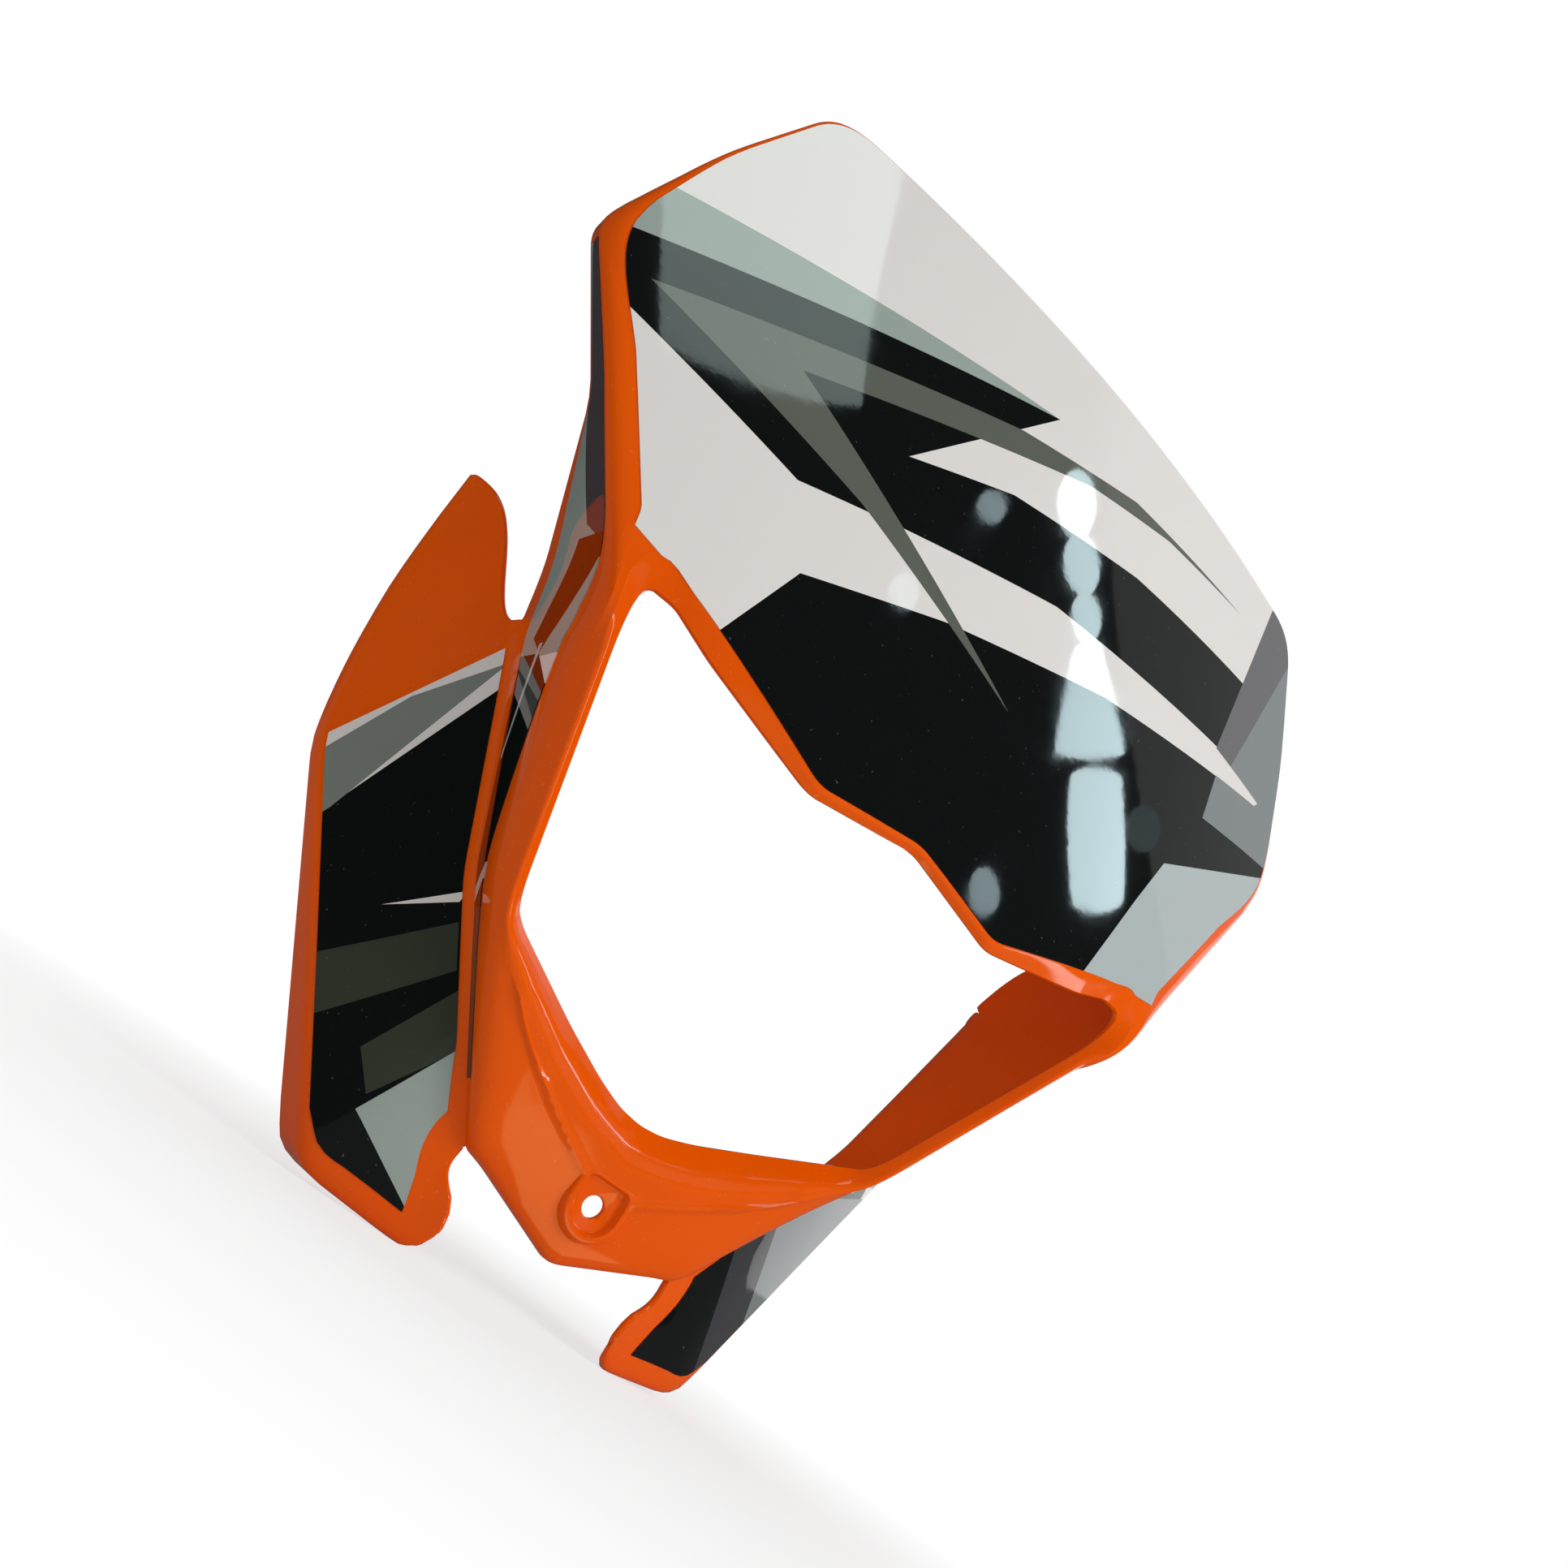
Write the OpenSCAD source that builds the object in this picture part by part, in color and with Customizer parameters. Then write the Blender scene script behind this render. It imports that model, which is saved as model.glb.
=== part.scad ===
/* [Plate] */
// Half width of the plate between its two top corners
plate_top_half = 135; // [129:1:141]
// Half width of the plate at its shoulders
shoulder_half = 177; // [172:1:182]
// Height of the top edge above the chin bolt
plate_top_z = 330; // [316:1:344]
// Height of the shoulders above the chin bolt
shoulder_z = 234.5; // [228:0.5:241]
// Lean of the plate back from upright in degrees
plate_lean = 15; // [13:0.5:17]
// How far the plate falls back at its top corners
plate_crown = 16; // [12:1:20]

/* [Opening] */
// Half width of the lamp opening at its top corners
opening_top_half = 116; // [112:1:118]
// Half width of the lamp opening where the pillars end
opening_low_half = 77; // [74:1:79]
// Height of the middle of the upper opening edge
opening_top_z = 134.5; // [131:0.5:138]
// Height of the middle of the lower opening edge
opening_low_z = 27.5; // [26:0.5:29]

/* [Wings] */
// Half width over the tips of the ears
ear_half = 148; // [142:1:154]
// Height of the ear tips above the chin bolt
ear_z = 166; // [156:1:174]
// Half width at the lower wing corners
wing_low_half = 75; // [71:1:79]
// Drop of the wing corners below the chin bolt
wing_drop = 36; // [33:1:39]
// Depth of the flange along the lower wing edge
flange_depth = 18; // [14:1:22]

/* [Chin bolt] */
// Diameter of the bolt hole
bolt_hole_d = 7; // [5:0.5:8]
// Diameter of the flat seat around the hole
seat_d = 16; // [14:1:18]
// Width of the raised rim around the seat
seat_rim = 2.5; // [2:0.5:3.5]

/* [Material] */
// Thickness of the moulded wall
wall = 2.5; // [2:0.25:3]
// Thickness of the printed film
film = 0.4; // [0.3:0.1:0.6]

/* [Hidden] */

// Stations run from the middle of the top edge, 0, round one side to the chin, 6
top_corner = 1;
shoulder = 2;
jaw = 3;
knee = 4;
chin_corner = 5;
chin_middle = 6;
ear_start = 3.12;
plain_steps = [0, 0.06, 0.12, 0.3, 0.5, 0.7, 0.88, 0.94];
wing_steps = [0, 0.06, 0.12, 0.2, 0.3, 0.36, 0.4, 0.55, 0.7, 0.85, 0.94];
chin_steps = [0, 0.12, 0.3, 0.5, 0.65, 0.76, 0.86, 0.94];
stations = concat(
    [for (k = [0 : 2]) for (f = plain_steps) k + f],
    [for (f = wing_steps) jaw + f],
    [for (f = chin_steps) knee + f],
    [for (f = plain_steps) chin_corner + f],
    [chin_middle]
);
turns = len(stations) - 1;
ring_count = 2 * turns;

// Rows across one station, from the opening edge outwards
face_first = 3;
face_rows = 7;
fold_first = face_first + face_rows;
side_first = fold_first + 3;
valley_row = side_first + 3;
panel_first = valley_row + 1;
panel_rows = 7;
rim_first = panel_first + panel_rows;
wing_last = rim_first + 3;

lip_step = 2.5;
lip_setback = 2.5;
lip_slope = 0.37;
jaw_half = 125.5;
jaw_z = 148.5;
knee_z = 58;
top_return = 3 * wall;
chin_return = 2.6 * wall;
fold_cut = 9;
valley_cut = 4;
rib_height = 1.3;
rib_reach = 0.1;
seat_y = 0;
seat_depth = 2.4;
seat_top_z = 8.5;
seat_top_half = 7.5;
tool_length = 40;
plate_top_y = 5.3;

// Surface of the plate: a cylinder leaned back, given as depth over width and height
function plate_y(x, z) =
    plate_top_y
    + (z - plate_top_z) * tan(plate_lean)
    + plate_crown * pow(x / plate_top_half, 2);
function on_plate(x, z, back = 0) = [x, plate_y(x, z) + back, z];

function mix(a, b, t) = a + (b - a) * t;
function bend(a, b, c, t) = mix(mix(a, b, t), mix(b, c, t), t);
function unit(v) = v / max(norm(v), 0.0001);
function flip(p) = [-p[0], p[1], p[2]];

// A rail is a list of [station, point], straight between its points
function on_rail(rail, s) =
    s < 0 ? flip(on_rail(rail, -s))
    : s > chin_middle ? flip(on_rail(rail, 2 * chin_middle - s))
    : [for (k = [0 : 2]) lookup(s, [for (r = rail) [r[0], r[1][k]]])];
// The same rail with its corners rounded over a reach of stations
function eased(rail, s, reach) = (
    on_rail(rail, s - reach)
    + 2 * on_rail(rail, s - reach / 2)
    + 2 * on_rail(rail, s)
    + 2 * on_rail(rail, s + reach / 2)
    + on_rail(rail, s + reach)
) / 8;

// The lip line under the plate, straight from the dip to the upper corner
function lip_line(x, rise = 0) = on_plate(x, opening_top_z - 8 + lip_step + lip_slope * (x - 39) + rise);

opening_rail = [
    [0, on_plate(0, opening_top_z, lip_setback)],
    [top_corner, on_plate(40, opening_top_z - 8, lip_setback)],
    [shoulder, on_plate(85, opening_top_z + 5, lip_setback)],
    [2.75, on_plate(opening_top_half - 15, opening_top_z + 11.5, lip_setback)],
    [jaw, on_plate(opening_top_half - 5, opening_top_z + 11.5, lip_setback)],
    [3.2, [opening_top_half - 6.5, -29, opening_top_z]],
    [knee, [opening_low_half, -4, knee_z]],
    [4.2, [opening_low_half - 7, 1, knee_z - 4]],
    [chin_corner, [38, 4, opening_low_z + 12]],
    [5.4, [20, 4, opening_low_z + 4.5]],
    [5.7, [9, 4, opening_low_z + 1]],
    [chin_middle, [0, 4, opening_low_z]]
];
lip_rail = [
    [0, on_plate(0, opening_top_z + lip_step - 0.5)],
    [top_corner, lip_line(39)],
    [shoulder, lip_line(84)],
    [2.7, lip_line(opening_top_half - 18)],
    [2.88, lip_line(opening_top_half - 7, 1)],
    [jaw, on_plate(opening_top_half, opening_top_z + 12.5 + lip_step)],
    [3.2, [opening_top_half - 2.5, -32, opening_top_z + 1]],
    [knee, [opening_low_half + 2.5, -6.5, knee_z - 4]],
    [4.2, [opening_low_half - 4, -5.5, knee_z - 10]],
    [chin_corner, [35, -3.6, opening_low_z + 1]],
    [5.4, [20, -3.8, opening_low_z - 5]],
    [chin_middle, [0, -3.8, opening_low_z - 9]]
];
fold_rail = [
    [0, on_plate(0, plate_top_z)],
    [top_corner, on_plate(plate_top_half, plate_top_z)],
    [1.5, on_plate((plate_top_half + shoulder_half) / 2 + 3, (plate_top_z + shoulder_z) / 2 + 2)],
    [shoulder, on_plate(shoulder_half, shoulder_z)],
    [jaw, on_plate(jaw_half, jaw_z)],
    [3.5, [108, -13, 106]],
    [knee, [opening_low_half + 11.5, 1.5, knee_z + 4.5]],
    [chin_corner, [43, 3, -4]],
    [chin_middle, [0, 2, -21]]
];
back_rail = [
    [0, on_plate(0, plate_top_z - 1.5, top_return)],
    [top_corner, on_plate(plate_top_half - 1.5, plate_top_z - 1.5, top_return)],
    [shoulder, on_plate(shoulder_half - 3, shoulder_z + 2, 16)],
    [2.5, [142.5, 24, 197]],
    [jaw, [jaw_half - 7.5, 38, jaw_z + 1.5]],
    [ear_start, [jaw_half - 13, 40.5, jaw_z - 17]],
    [3.4, [jaw_half - 14, 37.5, jaw_z - 20.5]],
    [knee, [opening_low_half + 7, 23, knee_z + 4]],
    [4.5, [64, 14, 28]],
    [chin_corner, [42, 9, -6]],
    [5.2, [34, 3 + chin_return, -8]],
    [chin_middle, [0, 2 + chin_return, -20.5]]
];
outer_rail = [
    [ear_start, [ear_half, 62, ear_z]],
    [3.2, [ear_half - 1, 64.5, 134.5]],
    [3.3, [ear_half - 4, 66.4, 109.5]],
    [3.36, [ear_half - 10, 66.6, 76]],
    [3.4, [ear_half - 13.5, 64.8, 68]],
    [4.65, [wing_low_half, 21, -wing_drop]],
    [4.86, [43, 10, -wing_drop - 2.5]],
    [4.94, [36.8, 7.2, -wing_drop - 2.5]],
    [chin_corner, [34.5, 4.8, 4.5 - wing_drop]]
];
flange_rail = [
    [ear_start, 0],
    [3.4, 2],
    [4.5, flange_depth - wall - 1],
    [4.65, flange_depth - wall - 1],
    [4.8, 4],
    [chin_corner, 0]
];

function on_plate_share(s) = lookup(s, [[jaw, 1], [3.3, 0]]);
function fold_point(s) =
    let (p = eased(fold_rail, s, 0.12))
    [p[0], mix(p[1], plate_y(p[0], p[2]), on_plate_share(s)), p[2]];

// Where the chin rib crosses the face, as a share of the way from lip to fold
rib_line = [
    [jaw, 0.45],
    [knee, 0.3],
    [4.3, 0.24],
    [4.65, 0.3],
    [chin_corner, 0.24],
    [5.4, 0.3],
    [5.7, 0.36],
    [chin_middle, 0.32]
];
function rib_place(s) = lookup(s, rib_line);
function rib_rise(s) = lookup(s, [[4.05, 0], [4.3, rib_height], [5.7, rib_height], [5.88, 0]]);
function face_point(s, lip, fold, t) =
    let (p = mix(lip, fold, t), bump = max(0, 1 - abs(t - rib_place(s)) / (rib_reach / 2)))
    [
        p[0],
        mix(p[1], plate_y(p[0], p[2]), on_plate_share(s)) - rib_rise(s) * bump,
        p[2]
    ];
function face_share(s, row, from, to) =
    let (r = rib_place(s), d = rib_reach / 2)
    lookup(row, [[0, from], [2, r - d], [3, r], [4, r + d], [face_rows, to]]);

// Bows that shape the free edges of a wing beside the ear notch and the chin notch
function ear_bow(s) = lookup(s, [[ear_start, 6], [3.4, 0]]);
function tab_bow(s) = lookup(s, [[4.6, 0], [4.86, 1.5], [chin_corner, 3]]);
function notch_bow(s) = lookup(s, [[4.6, 0], [4.86, 4], [chin_corner, 0]]);
function panel_point(s, valley, outer, t) =
    mix(valley, outer, t)
    + [0, 0, -ear_bow(s) * sin(360 * pow(t, 0.75))]
    + unit([3, 1.6, 0]) * (tab_bow(s) * sin(360 * pow(t, 1.2)) + notch_bow(s) * sin(180 * sqrt(t)));

// Way along a spoke that lies fold_cut away from the fold line, where the two aren't square
function fold_run(s) = unit(fold_point(min(s + 0.12, chin_middle)) - fold_point(min(s, chin_middle - 0.12)));
function slant(s, way) = max(norm(cross(unit(way), fold_run(s))), 0.25);

function inner_part(s) =
    let (
        edge = eased(opening_rail, s, 0.1),
        lip = eased(lip_rail, s, 0.1),
        fold = fold_point(s),
        back = eased(back_rail, s, 0.06),
        lip_cut = 0.4 * norm(lip - edge),
        face_cut = min(fold_cut / slant(s, fold - lip), 0.4 * norm(fold - lip)),
        side_cut = min(fold_cut / slant(s, back - fold), 0.55 * norm(back - fold)),
        from = lip_cut / norm(fold - lip),
        to = 1 - face_cut / norm(fold - lip),
        lip_in = mix(edge, lip, 0.6),
        lip_out = face_point(s, lip, fold, from),
        fold_in = face_point(s, lip, fold, to),
        fold_out = mix(fold, back, side_cut / norm(back - fold))
    )
    concat(
        [edge, lip_in, bend(lip_in, lip, lip_out, 0.5)],
        [for (r = [0 : face_rows]) face_point(s, lip, fold, face_share(s, r, from, to))],
        [for (t = [1 / 3, 2 / 3]) bend(fold_in, fold, fold_out, t)],
        [fold_out, mix(fold_out, back, 0.4), mix(fold_out, back, 0.8)]
    );
function outer_part(s) =
    let (
        fold = fold_point(s),
        back = eased(back_rail, s, 0.06),
        reach = min(0.06, s - ear_start, chin_corner - s),
        outer = eased(outer_rail, s, reach),
        depth = wall + 1 + lookup(s, flange_rail),
        rim = outer + [0.1 * depth, depth, 0],
        cut = min(3, 0.7 * depth),
        width = norm(outer - back),
        from = valley_cut / width,
        to = 1 - rim_cut(s) / width,
        panel_in = panel_point(s, back, outer, from),
        panel_out = panel_point(s, back, outer, to),
        rim_out = mix(outer, rim, cut / depth)
    )
    concat(
        [mix(back, (fold + panel_in) / 2, 0.12)],
        [for (r = [0 : panel_rows]) panel_point(s, back, outer, mix(from, to, r / panel_rows))],
        [bend(panel_out, outer, rim_out, 0.5), rim_out, rim]
    );
function rim_cut(s) = lookup(s, [[4.5, 3], [4.7, 8], [chin_corner, 8]]);
function has_wing(s) = s > ear_start - 0.001 && s < chin_corner + 0.001;
function spoke(s) =
    has_wing(s) ? concat(inner_part(s), outer_part(s)) : concat(inner_part(s), [eased(back_rail, s, 0.06)]);

half = [for (s = stations) spoke(s)];
ring = concat(half, [for (i = [turns - 1 : -1 : 1]) [for (p = half[i]) flip(p)]]);

function spoke_at(i) = ring[(i + ring_count) % ring_count];
function held(i, j) = j >= 0 && j < len(spoke_at(i));
function across(i, j) =
    let (
        a = held(i - 1, j) ? spoke_at(i - 1)[j] : spoke_at(i)[j],
        b = held(i + 1, j) ? spoke_at(i + 1)[j] : spoke_at(i)[j]
    )
    b - a;
function along(i, j) =
    let (
        a = held(i, j - 1) ? spoke_at(i)[j - 1] : spoke_at(i)[j],
        b = held(i, j + 1) ? spoke_at(i)[j + 1] : spoke_at(i)[j]
    )
    b - a;
normals = [
    for (i = [0 : ring_count - 1])
    [for (j = [0 : len(ring[i]) - 1]) unit(cross(across(i, j), along(i, j)))]
];

// Points of the rows first to last over the spokes named in order, moved out by rise
function skin(order, first, last, rise) = [
    for (i = order)
    let (n = i % ring_count, e = min(last, len(ring[n]) - 1))
    [for (j = [first : e]) ring[n][j] + rise * normals[n][j]]
];
function starts(rows) = [for (i = 0, a = 0; i < len(rows); a = a + len(rows[i]), i = i + 1) a];
function flat(rows) = [for (r = rows) for (p = r) p];
function total(rows) = len(flat(rows));

// Triangles of one strip between two neighbouring spokes
function strip(a, b, count) = [
    for (j = [0 : count - 2])
    for (t = [[a + j, a + j + 1, b + j], [b + j, a + j + 1, b + j + 1]]) t
];
// Triangles of the wall between the two skins along a run of border points
function border(run, step) = [
    for (k = [0 : len(run) - 2])
    for (t = [
        [run[k], run[k] + step, run[k + 1]],
        [run[k + 1], run[k] + step, run[k + 1] + step]
    ]) t
];
function backwards(list) = [for (k = [len(list) - 1 : -1 : 0]) list[k]];

// A closed solid between an outer and an inner skin over the same grid
module sheet(order, first, last, high, low, closed) {
    top = skin(order, first, last, high);
    under = skin(order, first, last, low);
    s = starts(top);
    n = total(top);
    count = len(order);
    pairs = closed ? count : count - 1;
    faces_top = [
        for (i = [0 : pairs - 1])
        let (k = (i + 1) % count)
        for (t = strip(s[i], s[k], min(len(top[i]), len(top[k])))) t
    ];
    faces_under = [for (t = faces_top) [t[0] + n, t[2] + n, t[1] + n]];
    inner_run = closed ? concat([for (i = [0 : count - 1]) s[i]], [s[0]]) : s;
    outer_run = [
        for (i = [0 : pairs - 1])
        let (
            k = (i + 1) % count,
            a = len(top[i]),
            b = len(top[k]),
            w = min(a, b)
        )
        for (j = concat(
            a > b ? [for (r = [a - 1 : -1 : w]) s[i] + r] : [],
            [s[i] + w - 1],
            b > a ? [for (r = [w - 1 : b - 2]) s[k] + r] : []
        )) j
    ];
    outer_end = closed ? outer_run[0] : s[count - 1] + len(top[count - 1]) - 1;
    walls = closed
        ? concat(border(backwards(inner_run), n), border(concat(outer_run, [outer_end]), n))
        : border(concat(
            backwards(inner_run),
            [for (j = [1 : len(top[0]) - 2]) j],
            outer_run,
            [outer_end],
            [for (j = [len(top[count - 1]) - 2 : -1 : 0]) s[count - 1] + j]
        ), n);
    polyhedron(
        points = concat(flat(top), flat(under)),
        faces = concat(faces_top, faces_under, walls),
        convexity = 12
    );
}

function nearest(s) = [for (i = [0 : turns]) if (abs(stations[i] - s) < 0.001) i][0];
function left_run(from, to) = [for (i = [nearest(from) : nearest(to)]) i];
function right_run(from, to) = [for (i = left_run(from, to)) ring_count - i];

module shell() {
    color("darkorange")
    difference() {
        union() {
            sheet([for (i = [0 : ring_count - 1]) i], 0, wing_last, 0, -wall, true);
            chin_seat();
        }
        rotate([90, 0, 0])
        cylinder(d = bolt_hole_d, h = tool_length, center = true, $fn = 48);
        translate([0, seat_y, 0])
        rotate([90, 0, 0])
        linear_extrude(tool_length / 2)
        seat_outline(0);
    }
}

// A round seat with a flat top, grown by the given rim
module seat_outline(rim) {
    half = seat_top_half + rim;
    circle(d = seat_d + 2 * rim, $fn = 64);
    translate([-half, 0])
    square([2 * half, seat_top_z + rim / 2]);
}

module chin_seat() {
    translate([0, seat_y + wall, 0])
    rotate([90, 0, 0])
    linear_extrude(wall + seat_depth)
    seat_outline(seat_rim);
}

module plate_decal() {
    run = concat(
        [for (i = [nearest(2.88) : -1 : 0]) ring_count - i],
        [for (i = [1 : nearest(2.88)]) i]
    );
    color("white")
    sheet(run, face_first, fold_first, film, 0, false);
}

module left_wing_decal() {
    color("black")
    sheet(left_run(3.4, 4.86), panel_first, rim_first, film, 0, false);
}

module right_wing_decal() {
    color("black")
    sheet(backwards(right_run(3.4, 4.86)), panel_first, rim_first, film, 0, false);
}

module left_side_decal() {
    color("dimgray")
    sheet(left_run(2.06, 4.76), side_first, side_first + 2, film, 0, false);
}

module right_side_decal() {
    color("dimgray")
    sheet(backwards(right_run(2.06, 4.76)), side_first, side_first + 2, film, 0, false);
}

shell();
plate_decal();
left_wing_decal();
right_wing_decal();
left_side_decal();
right_side_decal();
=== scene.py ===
"""Headlight fairing of an off-road motorcycle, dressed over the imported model.

The moulded shell is lofted again from the guide lines of the part's source,
at a finer pitch, and five printed films are laid over it. Lengths are in
millimetres until a mesh is made, and the meshes are in metres.
"""

from __future__ import annotations

import logging
import math
from collections.abc import Callable, Sequence
from dataclasses import dataclass, field
from enum import Enum
from functools import reduce

import bpy
import numpy as np
from mathutils import Matrix, Vector


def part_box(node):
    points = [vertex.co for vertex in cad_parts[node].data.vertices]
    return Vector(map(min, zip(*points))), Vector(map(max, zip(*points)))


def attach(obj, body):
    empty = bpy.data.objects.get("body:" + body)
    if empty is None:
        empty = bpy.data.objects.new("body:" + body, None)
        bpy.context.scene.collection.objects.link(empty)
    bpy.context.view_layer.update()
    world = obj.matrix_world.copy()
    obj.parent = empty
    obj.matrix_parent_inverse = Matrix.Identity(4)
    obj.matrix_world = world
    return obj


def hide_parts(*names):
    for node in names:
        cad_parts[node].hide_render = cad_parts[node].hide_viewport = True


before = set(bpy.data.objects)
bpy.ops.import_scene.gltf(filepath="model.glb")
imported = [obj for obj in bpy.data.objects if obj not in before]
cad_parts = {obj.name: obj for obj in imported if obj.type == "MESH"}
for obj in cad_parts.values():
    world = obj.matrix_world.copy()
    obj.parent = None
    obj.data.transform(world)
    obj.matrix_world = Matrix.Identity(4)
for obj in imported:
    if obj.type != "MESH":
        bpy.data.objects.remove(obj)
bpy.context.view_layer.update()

log = logging.getLogger("fairing")

MM = 0.001
Colour = tuple[float, float, float, float]
Point = tuple[float, float]
WHITE: Colour = (1.0, 1.0, 1.0, 1.0)


def tone(red: float, green: float, blue: float) -> Colour:
    """Gives the scene-linear colour of a screen colour of 0 to 255."""
    values = []
    for part in (red, green, blue):
        share = part / 255
        low = share <= 0.04045
        values.append(share / 12.92 if low else ((share + 0.055) / 1.055) ** 2.4)
    return (values[0], values[1], values[2], 1.0)


# ---------------------------------------------------------------- shaders


class Signal:
    """A number worked out over a surface, with the usual operators."""

    def __init__(self, graph: "NodeGraph", socket: bpy.types.NodeSocket) -> None:
        """Wraps one output socket.

        Args:
            graph: The graph that the socket belongs to.
            socket: The output that carries the number.
        """
        self.graph = graph
        self.socket = socket

    def _math(self, operation: str, first: object, second: object) -> "Signal":
        """Adds one Math node.

        Args:
            operation: The Math node's operation.
            first: The first number or Signal.
            second: The second number or Signal.

        Returns:
            The node's result.
        """
        node = self.graph.add(
            "ShaderNodeMath", {"operation": operation}, {0: first, 1: second}
        )
        return Signal(self.graph, node.outputs[0])

    def __add__(self, other: "Signal | float") -> "Signal":
        """The sum."""
        return self._math("ADD", self, other)

    def __sub__(self, other: "Signal | float") -> "Signal":
        """The difference."""
        return self._math("SUBTRACT", self, other)

    def __rsub__(self, other: float) -> "Signal":
        """The difference, with the number first."""
        return self._math("SUBTRACT", other, self)

    def __mul__(self, other: "Signal | float") -> "Signal":
        """The product."""
        return self._math("MULTIPLY", self, other)

    def __truediv__(self, other: "Signal | float") -> "Signal":
        """The quotient."""
        return self._math("DIVIDE", self, other)

    def __gt__(self, other: "Signal | float") -> "Signal":
        """1 where this is the greater, otherwise 0."""
        return self._math("GREATER_THAN", self, other)

    def __and__(self, other: "Signal") -> "Signal":
        """The lesser of the two: both masks at once."""
        return self._math("MINIMUM", self, other)

    def __or__(self, other: "Signal") -> "Signal":
        """The greater of the two: either mask."""
        return self._math("MAXIMUM", self, other)

    def __invert__(self) -> "Signal":
        """The mask turned over."""
        return 1.0 - self


class NodeGraph:
    """The nodes of one material or world."""

    def __init__(self, tree: bpy.types.NodeTree) -> None:
        """Starts from an empty tree."""
        self.tree = tree
        tree.nodes.clear()

    def add(
        self,
        kind: str,
        settings: dict[str, object] | None = None,
        values: dict[int | str, object] | None = None,
    ) -> bpy.types.Node:
        """Adds any node.

        Args:
            kind: The node's type.
            settings: Its settings, such as an operation, or a ramp's stops.
            values: Its sockets' values, or the Signals, nodes or sockets linked in.

        Returns:
            The new node.
        """
        node = self.tree.nodes.new(kind)
        for name, value in (settings or {}).items():
            if name == "stops":
                self._set_stops(node.color_ramp, value)
            else:
                setattr(node, name, value)
        for key, value in (values or {}).items():
            self._feed(node.inputs[key], value)
        return node

    def _feed(self, entry: bpy.types.NodeSocket, value: object) -> None:
        """Links or sets one input, by what the value is."""
        if isinstance(value, Signal):
            self.tree.links.new(value.socket, entry)
        elif isinstance(value, bpy.types.NodeSocket):
            self.tree.links.new(value, entry)
        elif isinstance(value, bpy.types.Node):
            self.tree.links.new(value.outputs[0], entry)
        else:
            entry.default_value = value

    @staticmethod
    def _set_stops(ramp: bpy.types.ColorRamp, stops: list[tuple[float, float]]) -> None:
        """Gives a ramp its grey stops, each a place and a level."""
        while len(ramp.elements) < len(stops):
            ramp.elements.new(0.5)
        for element, (place, level) in zip(ramp.elements, stops):
            element.position = place
            element.color = (level, level, level, 1.0)

    def places(self) -> tuple[Signal, Signal, Signal]:
        """Gives the three coordinates on the object, in millimetres."""
        source = self.add("ShaderNodeTexCoord")
        split = self.add("ShaderNodeSeparateXYZ", None, {0: source.outputs["Object"]})
        across, deep, high = (Signal(self, split.outputs[k]) for k in range(3))
        return across * 1000.0, deep * 1000.0, high * 1000.0

    def noise(self, scale: float, detail: float, roughness: float = 0.5) -> Signal:
        """Adds a noise over the object.

        Args:
            scale: Its waves to a metre.
            detail: How many finer layers it has.
            roughness: How strong those layers are.

        Returns:
            The noise, about 0.5 on average.
        """
        source = self.add("ShaderNodeTexCoord")
        node = self.add(
            "ShaderNodeTexNoise",
            {"noise_dimensions": "3D"},
            {
                "Vector": source.outputs["Object"],
                "Scale": scale,
                "Detail": detail,
                "Roughness": roughness,
            },
        )
        return Signal(self, node.outputs[0])

    def ramp(self, value: Signal, stops: list[tuple[float, float]]) -> Signal:
        """Bends a number through a ramp of grey stops."""
        node = self.add("ShaderNodeValToRGB", {"stops": stops}, {0: value})
        return Signal(self, node.outputs[0])

    def mix(self, mask: Signal | float, under: object, over: object) -> bpy.types.NodeSocket:
        """Lays one colour over another.

        Args:
            mask: How much of the upper colour shows.
            under: The lower colour, or its socket.
            over: The upper colour, or its socket.

        Returns:
            The mixed colour's socket.
        """
        node = self.add(
            "ShaderNodeMix", {"data_type": "RGBA"}, {0: mask, 6: under, 7: over}
        )
        return node.outputs[2]

    def rays(self, *kinds: str) -> Signal:
        """Gives 1 for any of these kinds of ray, such as Camera, otherwise 0."""
        path = self.add("ShaderNodeLightPath")
        found = [Signal(self, path.outputs[f"Is {kind} Ray"]) for kind in kinds]
        return reduce(lambda one, other: one | other, found)

    def glow(self, level: float, colour: Colour = WHITE) -> bpy.types.Node:
        """Adds a plain light-giving surface."""
        return self.add("ShaderNodeEmission", None, {"Color": colour, "Strength": level})

    def gloss(self, colour: object, roughness: Signal, height: Signal) -> bpy.types.Node:
        """Adds a smooth plastic surface.

        Args:
            colour: Its colour, or the colour's socket.
            roughness: Its roughness.
            height: Its fine relief, in metres.

        Returns:
            The shader.
        """
        relief = self.add(
            "ShaderNodeBump", None, {"Strength": 1.0, "Distance": 1.0, "Height": height}
        )
        return self.add(
            "ShaderNodeBsdfPrincipled",
            None,
            {
                "Base Color": colour,
                "Roughness": roughness,
                "Specular IOR Level": 0.5,
                "Normal": relief,
            },
        )

    def layer(self, mask: Signal, under: bpy.types.Node, over: bpy.types.Node) -> bpy.types.Node:
        """Shows one shader over another where the mask is 1."""
        return self.add("ShaderNodeMixShader", None, {0: mask, 1: under, 2: over})


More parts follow.
